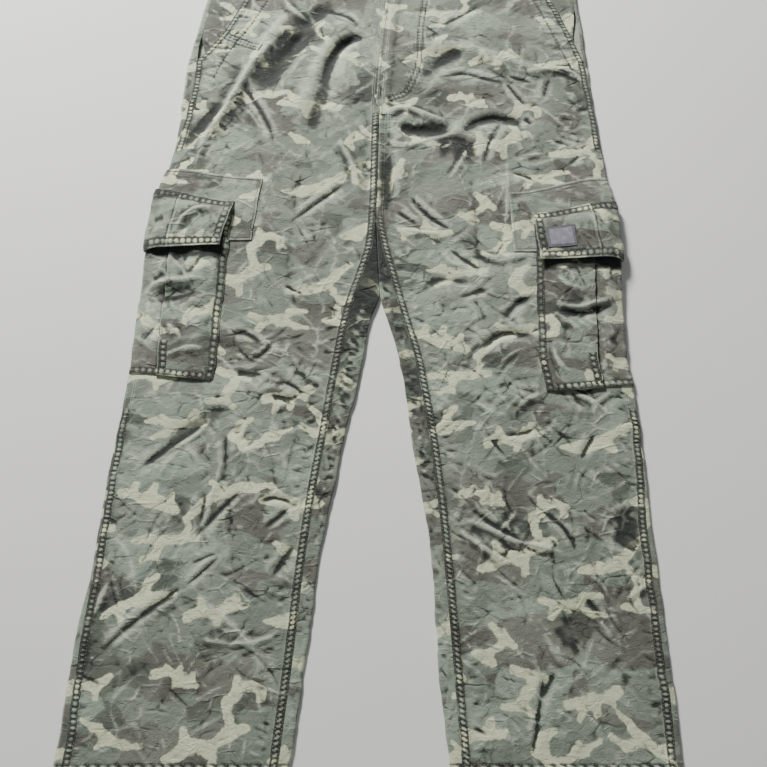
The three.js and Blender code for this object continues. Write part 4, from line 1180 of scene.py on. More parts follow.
def bag_line(side, y, v):
    """Middle of the bag's wall in one row, as s and lift, with its pleat, and the intervals between."""
    layer = layer_of(side, "bag")
    inner = float(reach_s(side, y, mix(layer["reach_top"], layer["reach_low"], v)))
    pleat = float(reach_s(side, y, mix(*POCKETS[side]["pleat"], v)))
    deep = pleat + PLEAT_DEPTH
    arc = float(ring(side, y)[4])
    puff = BAG_PUFF * math.sin(math.pi * v) ** 0.7 if 0 < v < 1 else 0.0
    high = 2 * BAG_LAYER
    climb = [0, 0.55 * high + puff, high + puff, 1.15 * high + puff, 1.08 * high]
    knots = [(s, c, 9) for s, c in zip(np.linspace(inner, deep + PLEAT_LEAD, 5), climb)]
    knots[-1] = (deep + PLEAT_LEAD, climb[-1], 8)
    knots += [
        (pleat + PLEAT_LEAD, high, 4), (pleat, high, 3), (pleat - BAG_LAYER / 2, 1.5 * BAG_LAYER, 3),
        (pleat, BAG_LAYER, 6), (deep, BAG_LAYER, 3), (deep + BAG_LAYER / 2, 0.5 * BAG_LAYER, 3),
        (deep, 0, 6), (pleat - 2, 0, 8), (mix(pleat, arc, 0.5), 0.5 * puff, 8),
    ]
    knots += [(s, 0, 3) for s in np.linspace(arc, -arc, 5)[:-1]]
    knots += [(s, 0, 8) for s in np.linspace(-arc, -BAG_UNDER, 5)[:-1]]
    knots.append((-BAG_UNDER, 0, 0))
    points = np.array([k[:2] for k in knots])
    tangent = np.gradient(points, axis=0)
    parts = []
    for a, b, ta, tb, (_, _, n) in zip(points[:-1], points[1:], tangent[:-1], tangent[1:], knots[:-1]):
        span = np.linalg.norm(b - a)
        t = (np.arange(n) / n)[:, None]
        ta, tb = ta / np.linalg.norm(ta) * span, tb / np.linalg.norm(tb) * span
        parts.append(hermite(t, a, b, ta, tb))
    line = np.vstack(parts + [points[-1:]])
    return line, inner, pleat


def bag(side):
    layer, lower = layer_of(side, "bag"), layer_of(side, "patch")
    row_cells = 136
    rows = np.linspace(layer["top_in"], layer["low_in"], row_cells + 1)
    vs = (layer["top_in"] - rows) / (layer["top_in"] - layer["low_in"])
    made = [bag_line(side, y, v) for y, v in zip(rows, vs)]
    lines = np.array([m[0] for m in made])
    inner, pleat = np.array([m[1] for m in made])[:, None], np.array([m[2] for m in made])[:, None]
    s, rise = lines[..., 0], lines[..., 1]
    vv = np.repeat(vs[:, None], s.shape[1], 1)
    across = np.gradient(lines, axis=1)
    across /= np.linalg.norm(across, axis=-1, keepdims=True)
    tall = layer["top_in"] - layer["low_in"]
    gap_low, gap_in = (1 - vv) * tall, inner - s
    half = BAG_WALL / 2
    step = (lower["low_in"] + PATCH_STEP[0], lower["low_in"] + PATCH_STEP[1])
    y = layer_y(layer, vv, s)
    base = CLEAR + half + (WALL + CLEAR) * smooth(step[0], step[1], y)
    blown = smooth(0.18, 0.36, vv) * smooth(0, 0.22, 1 - vv)
    air = BAG_AIR * blown * smooth(8, 30, gap_in) * smooth(2, 26, s)
    own = relief_at(BAG_RELIEF, side, y, s) * smooth(3, 14, gap_in) * smooth(3, 14, gap_low)
    own = own * smooth(0.1, 0.26, vv)
    lift = base + rise + air + np.maximum(own, -0.85 * air - 0.1)
    column = np.arange(s.shape[1])[None, :]
    in_relief, in_tone = ladder(gap_in - FELL_WIDTH / 2, y, 131, POCKET_PITCH)
    low_relief, low_tone = ladder(gap_low - FELL_WIDTH / 2, s, 132, POCKET_PITCH)
    bar = smooth(PLEAT_BAR, PLEAT_BAR - 2, gap_low) * (gap_low > 4)
    bar_gap = s - pleat - BAR_MIDDLE
    bar_relief, bar_tone = ladder(bar_gap, y, 133, POCKET_PITCH - 1)
    near_in, near_low = gap_in < FELL_WIDTH + 2, gap_low < FELL_WIDTH + 2
    low_only = near_low & ~near_in
    on_bar = (np.abs(bar_gap) < 6) * (column < LIP_COLUMN) * bar
    lift += 0.8 * in_relief * near_in + 0.8 * low_relief * low_only + 0.7 * bar_relief * on_bar
    marks = 0.85 * (in_tone * near_in + low_tone * low_only + bar_tone * on_bar)
    marks += np.exp(-np.abs(column - LIP_COLUMN) / 1.1)
    # Painted shadow on the pleat's floor, past its lip.
    marks -= 0.9 * bell(pleat - s - 1.5, 2.2) * (column > FLOOR_COLUMN)
    # Painted shadow under the flap and just below its low edge.
    marks -= 2.4 * smooth(0.305, 0.26, vv) * smooth(5, 12, gap_in)
    lift += edge_round(gap_in) + edge_round(gap_low)
    offset = across * half

    def face(sign, part, relief):
        ss, ll = s[part] + sign * offset[..., 1][part], lift[part] - sign * offset[..., 0][part]
        return skin(side, y[part], ss, ll, relief)

    every, few = (slice(None),) * 2, (slice(None, None, INNER_STEP),) * 2
    steps = np.linalg.norm(np.diff(lines, axis=1), axis=-1)
    span = np.concatenate([np.zeros((len(vs), 1)), np.cumsum(steps, 1)], 1)
    cut = np.stack([-DIR[side] * span, y], -1)
    outside, inside = face(1, every, OUTER), face(-1, few, OUTER)
    panel = Panel("twill_pocket_" + NAMES[side], outside, inside, cut, marks, "bag_" + side)
    panel.s, panel.gap_in, panel.pleat, panel.tall = s, gap_in, pleat, tall
    return panel


def flap_lift(v, s):
    """Lift of the flap's inside: sewn down at its top edge, then over the bag and its pleat."""
    on_top = smooth(0, 20, s)
    sewn = (BAG_WALL + CLEAR) * (1 - smooth(0, 0.2, v))
    climb = (2 * BAG_LAYER + FLAP_SLACK) * smooth(0, FLAP_CLIMB, v)
    return WALL + BAG_WALL + 3 * CLEAR + on_top * (climb - sewn)


def flap_shape(side, vv, s, y):
    """Lift of the flap's inside with its own folds, and its low edge standing away in waves."""
    curl = FLAP_CURL * smooth(0.55, 1.0, vv) * (0.65 + 0.5 * noise(s / 26, s * 0 + (side == "R"), 141))
    own = relief_at(FLAP_RELIEF, side, y, s) * smooth(0.05, 0.3, vv)
    return flap_lift(vv, s) + curl * smooth(-6, 14, s) + np.maximum(own, -1.5)


def flap(side):
    layer = layer_of(side, "flap")
    vv, s, y, start = layer_grid(side, layer, FLAP_UNDER, 52, 76, 36)
    tall = layer["top_in"] - layer["low_in"]
    gap_in, gap_top, gap_low = start[:, None] - s, vv * tall, (1 - vv) * tall
    lift = flap_shape(side, vv, s, y) + FLAP_WALL
    top_relief, top_tone = ladder(gap_top - 5.5, s, 142, POCKET_PITCH)
    low_relief, low_tone = ladder(gap_low - 5.5, s, 143, POCKET_PITCH)
    in_relief, in_tone = ladder(gap_in - 5.5, y, 144, POCKET_PITCH)
    near_top, near_low, near_in = gap_top < 11, gap_low < 11, gap_in < 11
    lift += 0.7 * top_relief * near_top + 0.7 * low_relief * near_low
    in_only = near_in & ~near_top & ~near_low
    lift += 0.6 * in_relief * in_only
    marks = 0.7 * (top_tone * near_top + low_tone * near_low + in_tone * in_only)
    rims = np.minimum(np.minimum(gap_in, gap_top), gap_low)
    lift += edge_round(rims)
    marks += 0.8 * np.exp(-rims / 1.0)
    # The flaps are drawn darker all over.
    marks -= FLAP_DARKEN
    tuck = s - reach_s(side, y, mix(*FLAP_TUCK, vv))
    lift += 0.35 * bell(tuck - 1.2, 1.2) - 0.35 * bell(tuck + 1.2, 1.0)
    # Beside the tuck line: paler on the raised side from wear, and painted shade in the dip.
    marks += 0.6 * bell(tuck - 1.0, 1.0) - 0.7 * bell(tuck + 1.2, 1.0)
    cut = np.stack([-DIR[side] * gap_in, y], -1)
    panel = laid_shell("twill_flap_" + NAMES[side], side, y, s, lift, FLAP_WALL, cut, marks, "flap_" + side)
    panel.s, panel.start, panel.tall = s, start, tall
    return panel


def tag(side):
    """A plain woven tag, sewn to a flap."""
    layer = layer_of(side, "flap")
    v = np.linspace(TAG["from"], TAG["to"], 33)
    reach = np.linspace(TAG["reach_from"], TAG["reach_to"], 41)
    vv, rr = np.meshgrid(v, reach, indexing="ij")
    s = reach_s(side, mix(layer["top_in"], layer["low_in"], vv), rr)
    y = layer_y(layer, vv, s)
    from_ends = 30 * np.minimum(vv - v[0], v[-1] - vv) / (v[-1] - v[0])
    rims = np.minimum(np.minimum(rr - reach[-1], reach[0] - rr), from_ends)
    stitched = bell(rims - 1.8, 0.6)
    bulge = 0.35 * smooth(0, 8, rims) - 0.2 * stitched + 0.08 * noise(rr / 5, vv * 9, 151)
    lift = flap_shape(side, vv, s, y) + FLAP_WALL + SEAM_GAP + TAG["wall"] + bulge
    k = INNER_STEP
    outer = skin(side, y, s, lift)
    inner = skin(side, y[::k, ::k], s[::k, ::k], (lift - bulge - TAG["wall"])[::k, ::k])
    quads, tris = shell_faces(*outer.shape[:2])
    points = np.vstack([outer.reshape(-1, 3), inner.reshape(-1, 3)])
    # A darker woven border, and painted shade along the stitched groove.
    tone_shift = 1.2 * smooth(3.4, 2.6, rims) - 0.6 * stitched
    tone_shift = np.concatenate([tone_shift.ravel(), np.zeros(inner[..., 0].size)])
    cut = np.stack([rr, y], -1)
    both = np.concatenate([cut.reshape(-1, 2), cut[::k, ::k].reshape(-1, 2)]) * MM
    attributes = {"tone_shift": tone_shift, "cut": np.column_stack([both, np.zeros(len(both))])}
    made = mesh_object("woven_tag", points, quads, tris, attributes, WOVEN, sharp=50)
    return made, outer, normals(outer)


def facing(side):
    """The pocket facing that shows in a slant mouth."""
    y = np.linspace(WAIST_SEAM - SEAM_GAP, FACING_END + 2, 69)
    way = DIR[side]
    seam = along("out" + side, y) + way * along("side" + side, y)
    mouth = mouth_edge(side, np.maximum(y, MOUTH_END))
    shown = smooth(8, 30, np.abs(mouth - seam))
    outer = seam + way * mix(FACING_TUCK, 0, shown)
    u = np.linspace(0, 1, 25)
    x = outer[:, None] + (mouth + way * FACING_LAP - outer)[:, None] * u
    yy = np.repeat(y[:, None], len(u), 1)
    deep = WALL + 2 * CLEAR
    lift = -deep * mix(1, smooth(0, 0.4, u)[None, :], shown[:, None])
    lift = lift - 0.25 * smooth(0, 0.2, u)[None, :] * (0.5 + 0.5 * noise(yy / 12, x / 20, 161))
    cut = np.stack([x, yy], -1)
    return laid_shell(
        "twill_facing_" + NAMES[side], side, yy, top_s(side, yy, x), lift, FACING_WALL, cut, x * 0,
        "facing_" + side,
    )


def waistband():
    """One strip from its under end, round the left, the back and the right, to its over end."""
    y0 = BAND_MIDDLE
    middle = float(along("mid", y0))
    under_lift = -(BAND_OUT + BAND_IN + SEAM_GAP)
    arc = {side: float(ring(side, y0)[4]) for side in SIDES}
    over = {side: float(ring(side, y0)[7]) for side in SIDES}

    def run(side, a, b, cells, lift=0.0, lift_to=None):
        t = np.arange(cells) / cells
        return [(side, mix(a, b, q), mix(lift, lift if lift_to is None else lift_to, q)) for q in t]

    def tops(side, xa, xb, cells, lift=0.0, lift_to=None):
        a, b = float(top_s(side, y0, xa)), float(top_s(side, y0, xb))
        return run(side, a, b, cells, lift, lift_to)

    stations = tops("R", middle + UNDER_LAP, middle + 0.5, 12, under_lift)
    stations += tops("L", middle - 0.5, middle - 6, 4, under_lift)
    stations += tops("L", middle - 6, middle - 26, 8, under_lift, 0)
    stations += tops("L", middle - 26, -200, 80) + run("L", float(top_s("L", y0, -200)), arc["L"], 16)
    stations += run("L", arc["L"], -arc["L"], 12) + run("L", -arc["L"], 2 - over["L"], 80)
    stations += run("R", 2 - over["R"], -arc["R"], 80) + run("R", -arc["R"], arc["R"], 12)
    stations += tops("R", along("outR", y0) - 10, middle + 12, 100) + tops("R", middle + 12, middle + 0.5, 6)
    stations += tops("L", middle - 0.5, middle - OVER_LAP, 2)
    extra = (-len(stations)) % INNER_STEP
    for q in range(extra + 1):
        past = 0.4 * (extra - q) / (extra + 1)
        stations.append(("L", float(top_s("L", y0, middle - OVER_LAP + past)), 0.0))
    rows = np.linspace(WAIST_TOP, WAIST_SEAM, 29)
    s = np.array([b for _, b, _ in stations])
    base = np.array([c for _, _, c in stations])
    span = np.cumsum(np.concatenate([[0], np.minimum(np.abs(np.diff(s)), 3.4)]))
    up = (WAIST_TOP - rows)[:, None]
    tall = WAIST_TOP - WAIST_SEAM
    rims = np.minimum(up, tall - up)
    groove = bell(rims - 2.4, 0.9)
    beat = 2 * np.pi * span / BEAD_PITCH + 2 * noise(span / 40, span * 0, 171)
    pucker = np.cos(beat)[None, :] * np.exp(-rims / 5)
    wave = 0.35 * noise(span / 30, span * 0, 172)[None, :] * smooth(2, 10, rims)
    relief = 0.3 * pucker + wave - 0.3 * groove + edge_round(rims)
    # Pale worn pucker tops and rims, and painted shade between the puckers and in the stitching groove.
    marks = 0.5 * pucker - 0.7 * groove + 0.8 * np.exp(-rims / 1.0)
    legs = np.array([a for a, _, _ in stations])
    flat_under = s < -6
    relief = np.where(flat_under[None, :], np.minimum(relief, 0), relief)

    def face(out, rows, pick, relief):
        points = np.zeros((len(rows), len(pick), 3))
        for side in SIDES:
            at = np.nonzero(legs[pick] == side)[0]
            cols = pick[at]
            lift = (base[cols] + out)[None, :] + relief[:, at]
            points[:, at] = skin(side, np.repeat(rows[:, None], len(cols), 1), s[cols][None, :], lift)
        return points

    every, few = np.arange(len(s)), np.arange(0, len(s), INNER_STEP)
    outer = face(BAND_OUT, rows, every, relief)
    inner = face(-BAND_IN, rows[::INNER_STEP], few, np.zeros((8, len(few))))
    cut = np.stack(np.broadcast_arrays(span[None, :], rows[:, None]), -1)
    panel = Panel("twill_waistband", outer, inner, cut, marks, "band")
    return panel


# Thread
THREAD_RINGS = ((-0.5, 0.3, -0.42), (-0.3, 1.0, 0.02), (0.3, 1.0, 0.02), (0.5, 0.3, -0.42))
THREAD_SIDES = 5


class Sewing:
    """Collects stitches and joins them into one mesh."""

    def __init__(self):
        self.at, self.along, self.out, self.size = [], [], [], []

    def row(self, points, normal, pitch=STITCH_PITCH, length=STITCH_LENGTH, radius=THREAD_RADIUS):
        """Stitches along a line of points."""
        far = np.concatenate([[0], np.cumsum(np.linalg.norm(np.diff(points, axis=0), axis=1))])
        count = int(far[-1] / pitch)
        if count < 1:
            return
        middles = (np.arange(count) + 0.5) * far[-1] / count

        def read(d, field):
            return np.stack([np.interp(d, far, field[:, k]) for k in range(3)], -1)

        a = read(np.maximum(middles - length / 2, 0), points)
        b = read(np.minimum(middles + length / 2, far[-1]), points)
        self.add((a + b + 2 * read(middles, points)) / 4, b - a, read(middles, normal), length, radius)

    def add(self, at, way, out, length, radius):
        self.at.append(at)
        self.along.append(way / np.linalg.norm(way, axis=-1, keepdims=True))
        self.out.append(out / np.linalg.norm(out, axis=-1, keepdims=True))
        self.size.append(np.tile([length, radius], (len(at), 1)))

    def bar(self, panel, x, y, turn, length, width=2.6, count=11):
        """A bar tack: a short close row of threads laid across."""
        turn = math.radians(turn)
        way, aside = np.array([math.cos(turn), math.sin(turn)]), np.array([-math.sin(turn), math.cos(turn)])
        middles = np.array([x, y]) + way * (np.linspace(-0.5, 0.5, count) * length)[:, None]
        points, normal = panel.trace(*panel.find(middles))
        across = np.tile(np.append(aside, 0.0), (count, 1))
        self.add(points + 0.15 * normal, across, normal, width, 0.45)

    def build(self, name):
        at, way, out, size = (np.concatenate(a) for a in (self.at, self.along, self.out, self.size))
        aside = np.cross(way, out)
        aside /= np.linalg.norm(aside, axis=-1, keepdims=True)
        out = np.cross(aside, way)
        turn = np.arange(THREAD_SIDES) * 2 * np.pi / THREAD_SIDES
        points = []
        for along_share, radius_share, height in THREAD_RINGS:
            radius = (size[:, 1] * radius_share)[:, None, None]
            middle = at + way * (size[:, :1] * along_share) + out * height * (size[:, 1:] / THREAD_RADIUS)
            circle = aside[:, None] * np.cos(turn)[None, :, None] + out[:, None] * np.sin(turn)[None, :, None]
            points.append(middle[:, None] + radius * circle)
        points = np.concatenate(points, 1)
        count, each = points.shape[:2]
        n = THREAD_SIDES
        quads = [
            (r * n + q, r * n + (q + 1) % n, (r + 1) * n + (q + 1) % n, (r + 1) * n + q)
            for r in range(len(THREAD_RINGS) - 1) for q in range(n)
        ]
        caps = [(0, q + 1, q) for q in range(1, n - 1)]
        last = each - n
        caps += [(last, last + q, last + q + 1) for q in range(1, n - 1)]
        start = np.arange(count)[:, None, None] * each
        quads = (np.array(quads)[None] + start).reshape(-1, 4)
        caps = (np.array(caps)[None] + start).reshape(-1, 3)
        rng = np.random.default_rng(count)
        tone_shift = np.repeat(rng.uniform(-1, 1, count), each)
        return mesh_object(name, points.reshape(-1, 3), quads, caps, {"tone_shift": tone_shift}, THREAD)


def rows_between(y, high, low):
    """Fractional rows of a panel from one height down to another."""
    return np.interp(-np.linspace(high, low, 400), -y, np.arange(len(y)))


def sew_front(side, panel):
    sewing = Sewing()
    y, cols = panel.rows_y, panel.outer.shape[1]
    for gap in NEEDLES:
        column = gap / FELL_WIDTH * FELL_CELLS
        for low, high in ((HEM + HEM_DEPTH, HIDDEN_SEAM[0]), (HIDDEN_SEAM[1], WAIST_SEAM - 2)):
            rows = rows_between(y, high, low)
            sewing.row(*panel.trace(rows, rows * 0 + column))
        tops = [(HEM + HEM_DEPTH, CROTCH)]
        if side == "L":
            tops.append((CROTCH, FLY_SETTLE))
        for low, high in tops:
            rows = rows_between(y, high, low)
            sewing.row(*panel.trace(rows, rows * 0 + cols - 1 - column))
    if side == FLY_SIDE:
        rows = rows_between(y, WAIST_SEAM - 2, FLY_SETTLE)
        sewing.row(*panel.trace(rows, rows * 0 + cols - 1 - 2.6))
    rows = np.interp(-(HEM + HEM_DEPTH - 2), -y, np.arange(len(y)))
    across = np.linspace(1, cols - 2, 300)
    sewing.row(*panel.trace(across * 0 + rows, across))
    for line_side, line, gap in FACE_LINES:
        if line_side == side:
            curve = rounded(line, 8)
            way = np.gradient(curve, axis=0)
            aside = np.stack([-way[:, 1], way[:, 0]], -1) / np.linalg.norm(way, axis=1)[:, None]
            for offset in {-gap / 2, gap / 2}:
                sewing.row(*panel.trace(*panel.find(curve + aside * offset)))
    for tack_side, x, at_y, turn, length in BARTACKS:
        if tack_side == side:
            sewing.bar(panel, x, at_y, turn, length)
    return sewing.build("thread_front_" + NAMES[side])


def sew_back(side, panel):
    sewing = Sewing()
    y = panel.rows_y
    seat = y > CROTCH
    flat_end = panel.w[:, -1]
    for gap in NEEDLES:
        rows = np.nonzero(seat)[0][1:]
        cols = np.array([np.interp(flat_end[r] - gap, panel.w[r], np.arange(panel.w.shape[1])) for r in rows])
        sewing.row(*panel.trace(rows.astype(float), cols))
    row = np.interp(-(HEM + HEM_DEPTH - 2), -y, np.arange(len(y)))
    across = np.linspace(1, panel.w.shape[1] - 2, 400)
    sewing.row(*panel.trace(across * 0 + row, across))
    return sewing.build("thread_back_" + NAMES[side])


def sew_pocket(side, patch_panel, bag_panel, flap_panel):
    sewing = Sewing()
    for panel, rims in ((patch_panel, (3.2,)), (flap_panel, (2.3, 8.7))):
        rows, cols = panel.s.shape
        start = panel.start
        for gap in rims:
            for edge_row in (gap / panel.tall * (rows - 1), (1 - gap / panel.tall) * (rows - 1)):
                at = int(round(edge_row))
                first = np.interp(gap, start[at] - panel.s[at], np.arange(cols))
                across = np.linspace(first, cols - 2, 400)
                sewing.row(*panel.trace(across * 0 + edge_row, across))
            down = np.linspace(gap / panel.tall, 1 - gap / panel.tall, 80) * (rows - 1)
            first = [np.interp(gap, start[int(r)] - panel.s[int(r)], np.arange(cols)) for r in down]
            sewing.row(*panel.trace(down, np.array(first)))
    panel = bag_panel
    rows, cols = panel.s.shape
    gap_in = panel.gap_in
    for gap in NEEDLES:
        low_row = (1 - gap / panel.tall) * (rows - 1)
        shown_from = 0.2 * (rows - 1)
        down = np.linspace(shown_from, low_row, 200)
        first = np.array([np.interp(gap, gap_in[int(r)][:40], np.arange(40)) for r in down])
        sewing.row(*panel.trace(down, first))
        at = int(low_row)
        across = np.linspace(float(np.interp(gap, gap_in[at][:40], np.arange(40))), LIP_COLUMN, 200)
        sewing.row(*panel.trace(across * 0 + low_row, across))
        across = np.linspace(OUT_COLUMN, cols - 2, 300)
        sewing.row(*panel.trace(across * 0 + low_row, across))
    for offset in (BAR_MIDDLE - NEEDLE, BAR_MIDDLE + NEEDLE):
        down = np.linspace((1 - PLEAT_BAR / panel.tall) * (rows - 1), (1 - 6 / panel.tall) * (rows - 1), 60)
        line = [
            np.interp(-(panel.pleat[int(r), 0] + offset), -panel.s[int(r)][:LIP_COLUMN], np.arange(LIP_COLUMN))
            for r in down
        ]
        sewing.row(*panel.trace(down, np.array(line)))
    return sewing.build("thread_pocket_" + NAMES[side])


def sew_band(panel, tag_points, tag_normals):
    sewing = Sewing()
    rows, cols = panel.outer.shape[:2]
    for gap in (2.4, WAIST_TOP - WAIST_SEAM - 2.4):
        row = gap / (WAIST_TOP - WAIST_SEAM) * (rows - 1)
        for first, last in ((24, 220), (224, cols - 3)):
            across = np.linspace(first, last, 900)
            sewing.row(*panel.trace(across * 0 + row, across))
    down = np.linspace(1.5, rows - 2.5, 40)
    sewing.row(*panel.trace(down, down * 0 + cols - 1 - 4))
    near = slice(1, -1)
    for line, out in (
        (tag_points[near, 2], tag_normals[near, 2]), (tag_points[near, -3], tag_normals[near, -3]),
        (tag_points[2, near], tag_normals[2, near]), (tag_points[-3, near], tag_normals[-3, near]),
    ):
        out = out * np.where(out[:, 2:] < 0, -1, 1)
        sewing.row(line, out, pitch=2.4, length=1.9, radius=0.25)
    return sewing.build("thread_band_and_tag")


def lathe(name, profile, sides, place_at, normal_z, material, tone_shift):
    """A turned piece on a vertical axis, from (radius, height) pairs that start and end on the axis."""
    turn = np.arange(sides) * 2 * np.pi / sides
    inner = profile[1:-1]
    points = [np.array([[0, 0, profile[0][1]]])]
    for radius, height in inner:
        points.append(np.column_stack([radius * np.cos(turn), radius * np.sin(turn), np.full(sides, height)]))
    points.append(np.array([[0, 0, profile[-1][1]]]))
    points = np.vstack(points)
    quads, tris = [], []
    for r in range(len(inner) - 1):
        for q in range(sides):
            a, b = 1 + r * sides + q, 1 + r * sides + (q + 1) % sides
            quads.append((a, b, b + sides, a + sides))
    last = len(points) - 1
    for q in range(sides):
        tris.append((0, 1 + (q + 1) % sides, 1 + q))
        base = last - sides
        tris.append((last, base + q, base + (q + 1) % sides))
    tilt = normal_z / np.linalg.norm(normal_z)
    across = np.cross([0, 1, 0], tilt)
    across /= np.linalg.norm(across)
    basis = np.stack([across, np.cross(tilt, across), tilt])
    placed = points @ basis + place_at
    attributes = {"tone_shift": points[:, 2] * tone_shift}
    return mesh_object(name, placed, np.array(quads), np.array(tris), attributes, material, sharp=40)


def button():
    """The waist button: a dished cap with a rolled rim and a raised ring, on a short shank."""
    seat = skin(FLY_SIDE, BAND_MIDDLE, float(top_s(FLY_SIDE, BAND_MIDDLE, BUTTON_X)), BAND_OUT + SEAM_GAP)
    r, t = BUTTON_RADIUS, BUTTON_THICK
    profile = [
        (0, 0.1), (4.2, 0.1), (4.2, 0.9), (r - 1.0, 0.9), (r - 0.3, 1.15), (r, 1.7), (r - 0.1, 2.3),
        (r - 0.5, 2.8), (r - 1.1, t), (r - 1.8, 2.85), (r - 2.3, 2.35), (r - 3.0, 2.1), (r - 3.4, 2.35),
        (r - 4.0, 2.4), (r - 4.4, 2.1), (2.6, 2.0), (1.6, 2.25), (0.8, 2.35), (0, 2.4),
    ]
    return lathe("metal_waist_button", profile, 56, seat, np.array([0, 0, 1.0]), METAL, 0.5)


def buttonhole():
    """Close stitching round the slot that the button comes through."""
    sewing = Sewing()
    y0, half, wide = BAND_MIDDLE, 11.0, 2.1
    turns = np.concatenate([
        np.column_stack([np.linspace(-half, half, 22), np.full(22, wide)]),
        np.column_stack([np.linspace(half, -half, 22), np.full(22, -wide)]),
    ])
    x = BUTTON_X + 2 + turns[:, 0]
    y = y0 + turns[:, 1]
    points = skin(FLY_SIDE, y, top_s(FLY_SIDE, y, x), BAND_OUT + 0.25)
    out = np.tile([0, 0, 1.0], (len(x), 1))
    sewing.add(points, np.tile([0, 1.0, 0], (len(x), 1)), out, 2.6, 0.4)
    return sewing.build("thread_buttonhole")


# Materials
class Graph:
    """A material's nodes, added one at a time."""

    def __init__(self, name):
        self.material = bpy.data.materials.new(name)
        self.material.use_nodes = True
        self.tree = self.material.node_tree
        self.tree.nodes.clear()

    def node(self, kind, inputs, **settings):
        made = self.tree.nodes.new("ShaderNode" + kind)
        for key, value in settings.items():
            setattr(made, key, value)
        for key, value in inputs.items():
            if isinstance(value, bpy.types.NodeSocket):
                self.tree.links.new(value, made.inputs[key])
            else:
                made.inputs[key].default_value = value
        return made

    def attribute(self, name, output="Fac"):
        return self.node("Attribute", {}, attribute_name=name).outputs[output]

    def math(self, operation, a, b=0.0, clamp=False):
        return self.node("Math", {0: a, 1: b}, operation=operation, use_clamp=clamp).outputs[0]

    def blend(self, share, a, b, kind="MIX"):
        made = self.node("Mix", {0: share, 6: a, 7: b}, data_type="RGBA", blend_type=kind, clamp_result=False)
        return made.outputs[2]

    def ramp(self, value, low, high, to_low=0.0, to_high=1.0):
        inputs = {"Value": value, "From Min": low, "From Max": high, "To Min": to_low, "To Max": to_high}
        return self.node("MapRange", inputs, interpolation_type="SMOOTHSTEP").outputs[0]

    def noise(self, vector, scale, detail=2.0, roughness=0.5, kind="FBM"):
        inputs = {"Vector": vector, "Scale": scale, "Detail": detail, "Roughness": roughness}
        return self.node("TexNoise", inputs, noise_dimensions="3D", noise_type=kind).outputs[0]

    def scaled(self, vector, scale, turn=0.0):
        inputs = {"Vector": vector, "Rotation": (0, 0, turn), "Scale": scale}
        return self.node("Mapping", inputs).outputs[0]

    def waves(self, vector, pitch):
        inputs = {"Vector": vector, "Scale": 2 * math.pi / (20 * pitch), "Distortion": 0.6, "Detail": 1.0}
        return self.node("TexWave", inputs, wave_type="BANDS", bands_direction="X").outputs["Fac"]

    def creasing(self, vector, scale, warp, seed):
        """Thin lines between crushed facets, and from -1 to 1 whether each is a trough or a ridge."""
        shift = self.node("TexNoise", {"Vector": vector, "Scale": 0.6 * scale, "Detail": 2.0}).outputs["Color"]
        centred = self.node("VectorMath", {0: shift, 1: (-0.5, -0.5, -0.5)}, operation="ADD").outputs[0]
        bent = self.node(
            "VectorMath", {0: centred, 1: (2 * warp, 2 * warp, 0), 2: vector}, operation="MULTIPLY_ADD"
        ).outputs[0]
        inputs = {"Vector": self.scaled(bent, (0.75, 1.2, 1), 0.4), "Scale": scale}
        gap = self.node("TexVoronoi", inputs, feature="DISTANCE_TO_EDGE").outputs["Distance"]
        line = self.ramp(gap, 0.0, 0.11, 1.0, 0.0)
        away = self.node("Mapping", {"Vector": vector, "Location": (seed, seed, 0)}).outputs[0]
        sense = self.ramp(self.noise(away, 0.6 * scale, 1), 0.3, 0.7, -1.0, 1.0)
        return line, self.math("MULTIPLY", sense, self.math("ABSOLUTE", sense))

    def bump(self, height, distance, strength=1.0, normal=None):
        inputs = {"Height": height, "Distance": distance, "Strength": strength}
        if normal is not None:
            inputs["Normal"] = normal
        return self.node("Bump", inputs).outputs[0]

    def finish(self, **inputs):
        shader = self.node("BsdfPrincipled", {key.replace("_", " "): value for key, value in inputs.items()})
        self.node("OutputMaterial", {"Surface": shader.outputs[0]})
        return self.material


SAGE = (0.150, 0.180, 0.142, 1)
TAUPE = (0.084, 0.078, 0.067, 1)
DEEP = (0.032, 0.041, 0.034, 1)
MINT = (0.245, 0.302, 0.234, 1)
CREAM = (0.63, 0.67, 0.44, 1)
FADED = (0.50, 0.555, 0.44, 1)
SHADE = (0.010, 0.013, 0.011, 1)
BACKSIDE = (0.30, 0.325, 0.27, 1)


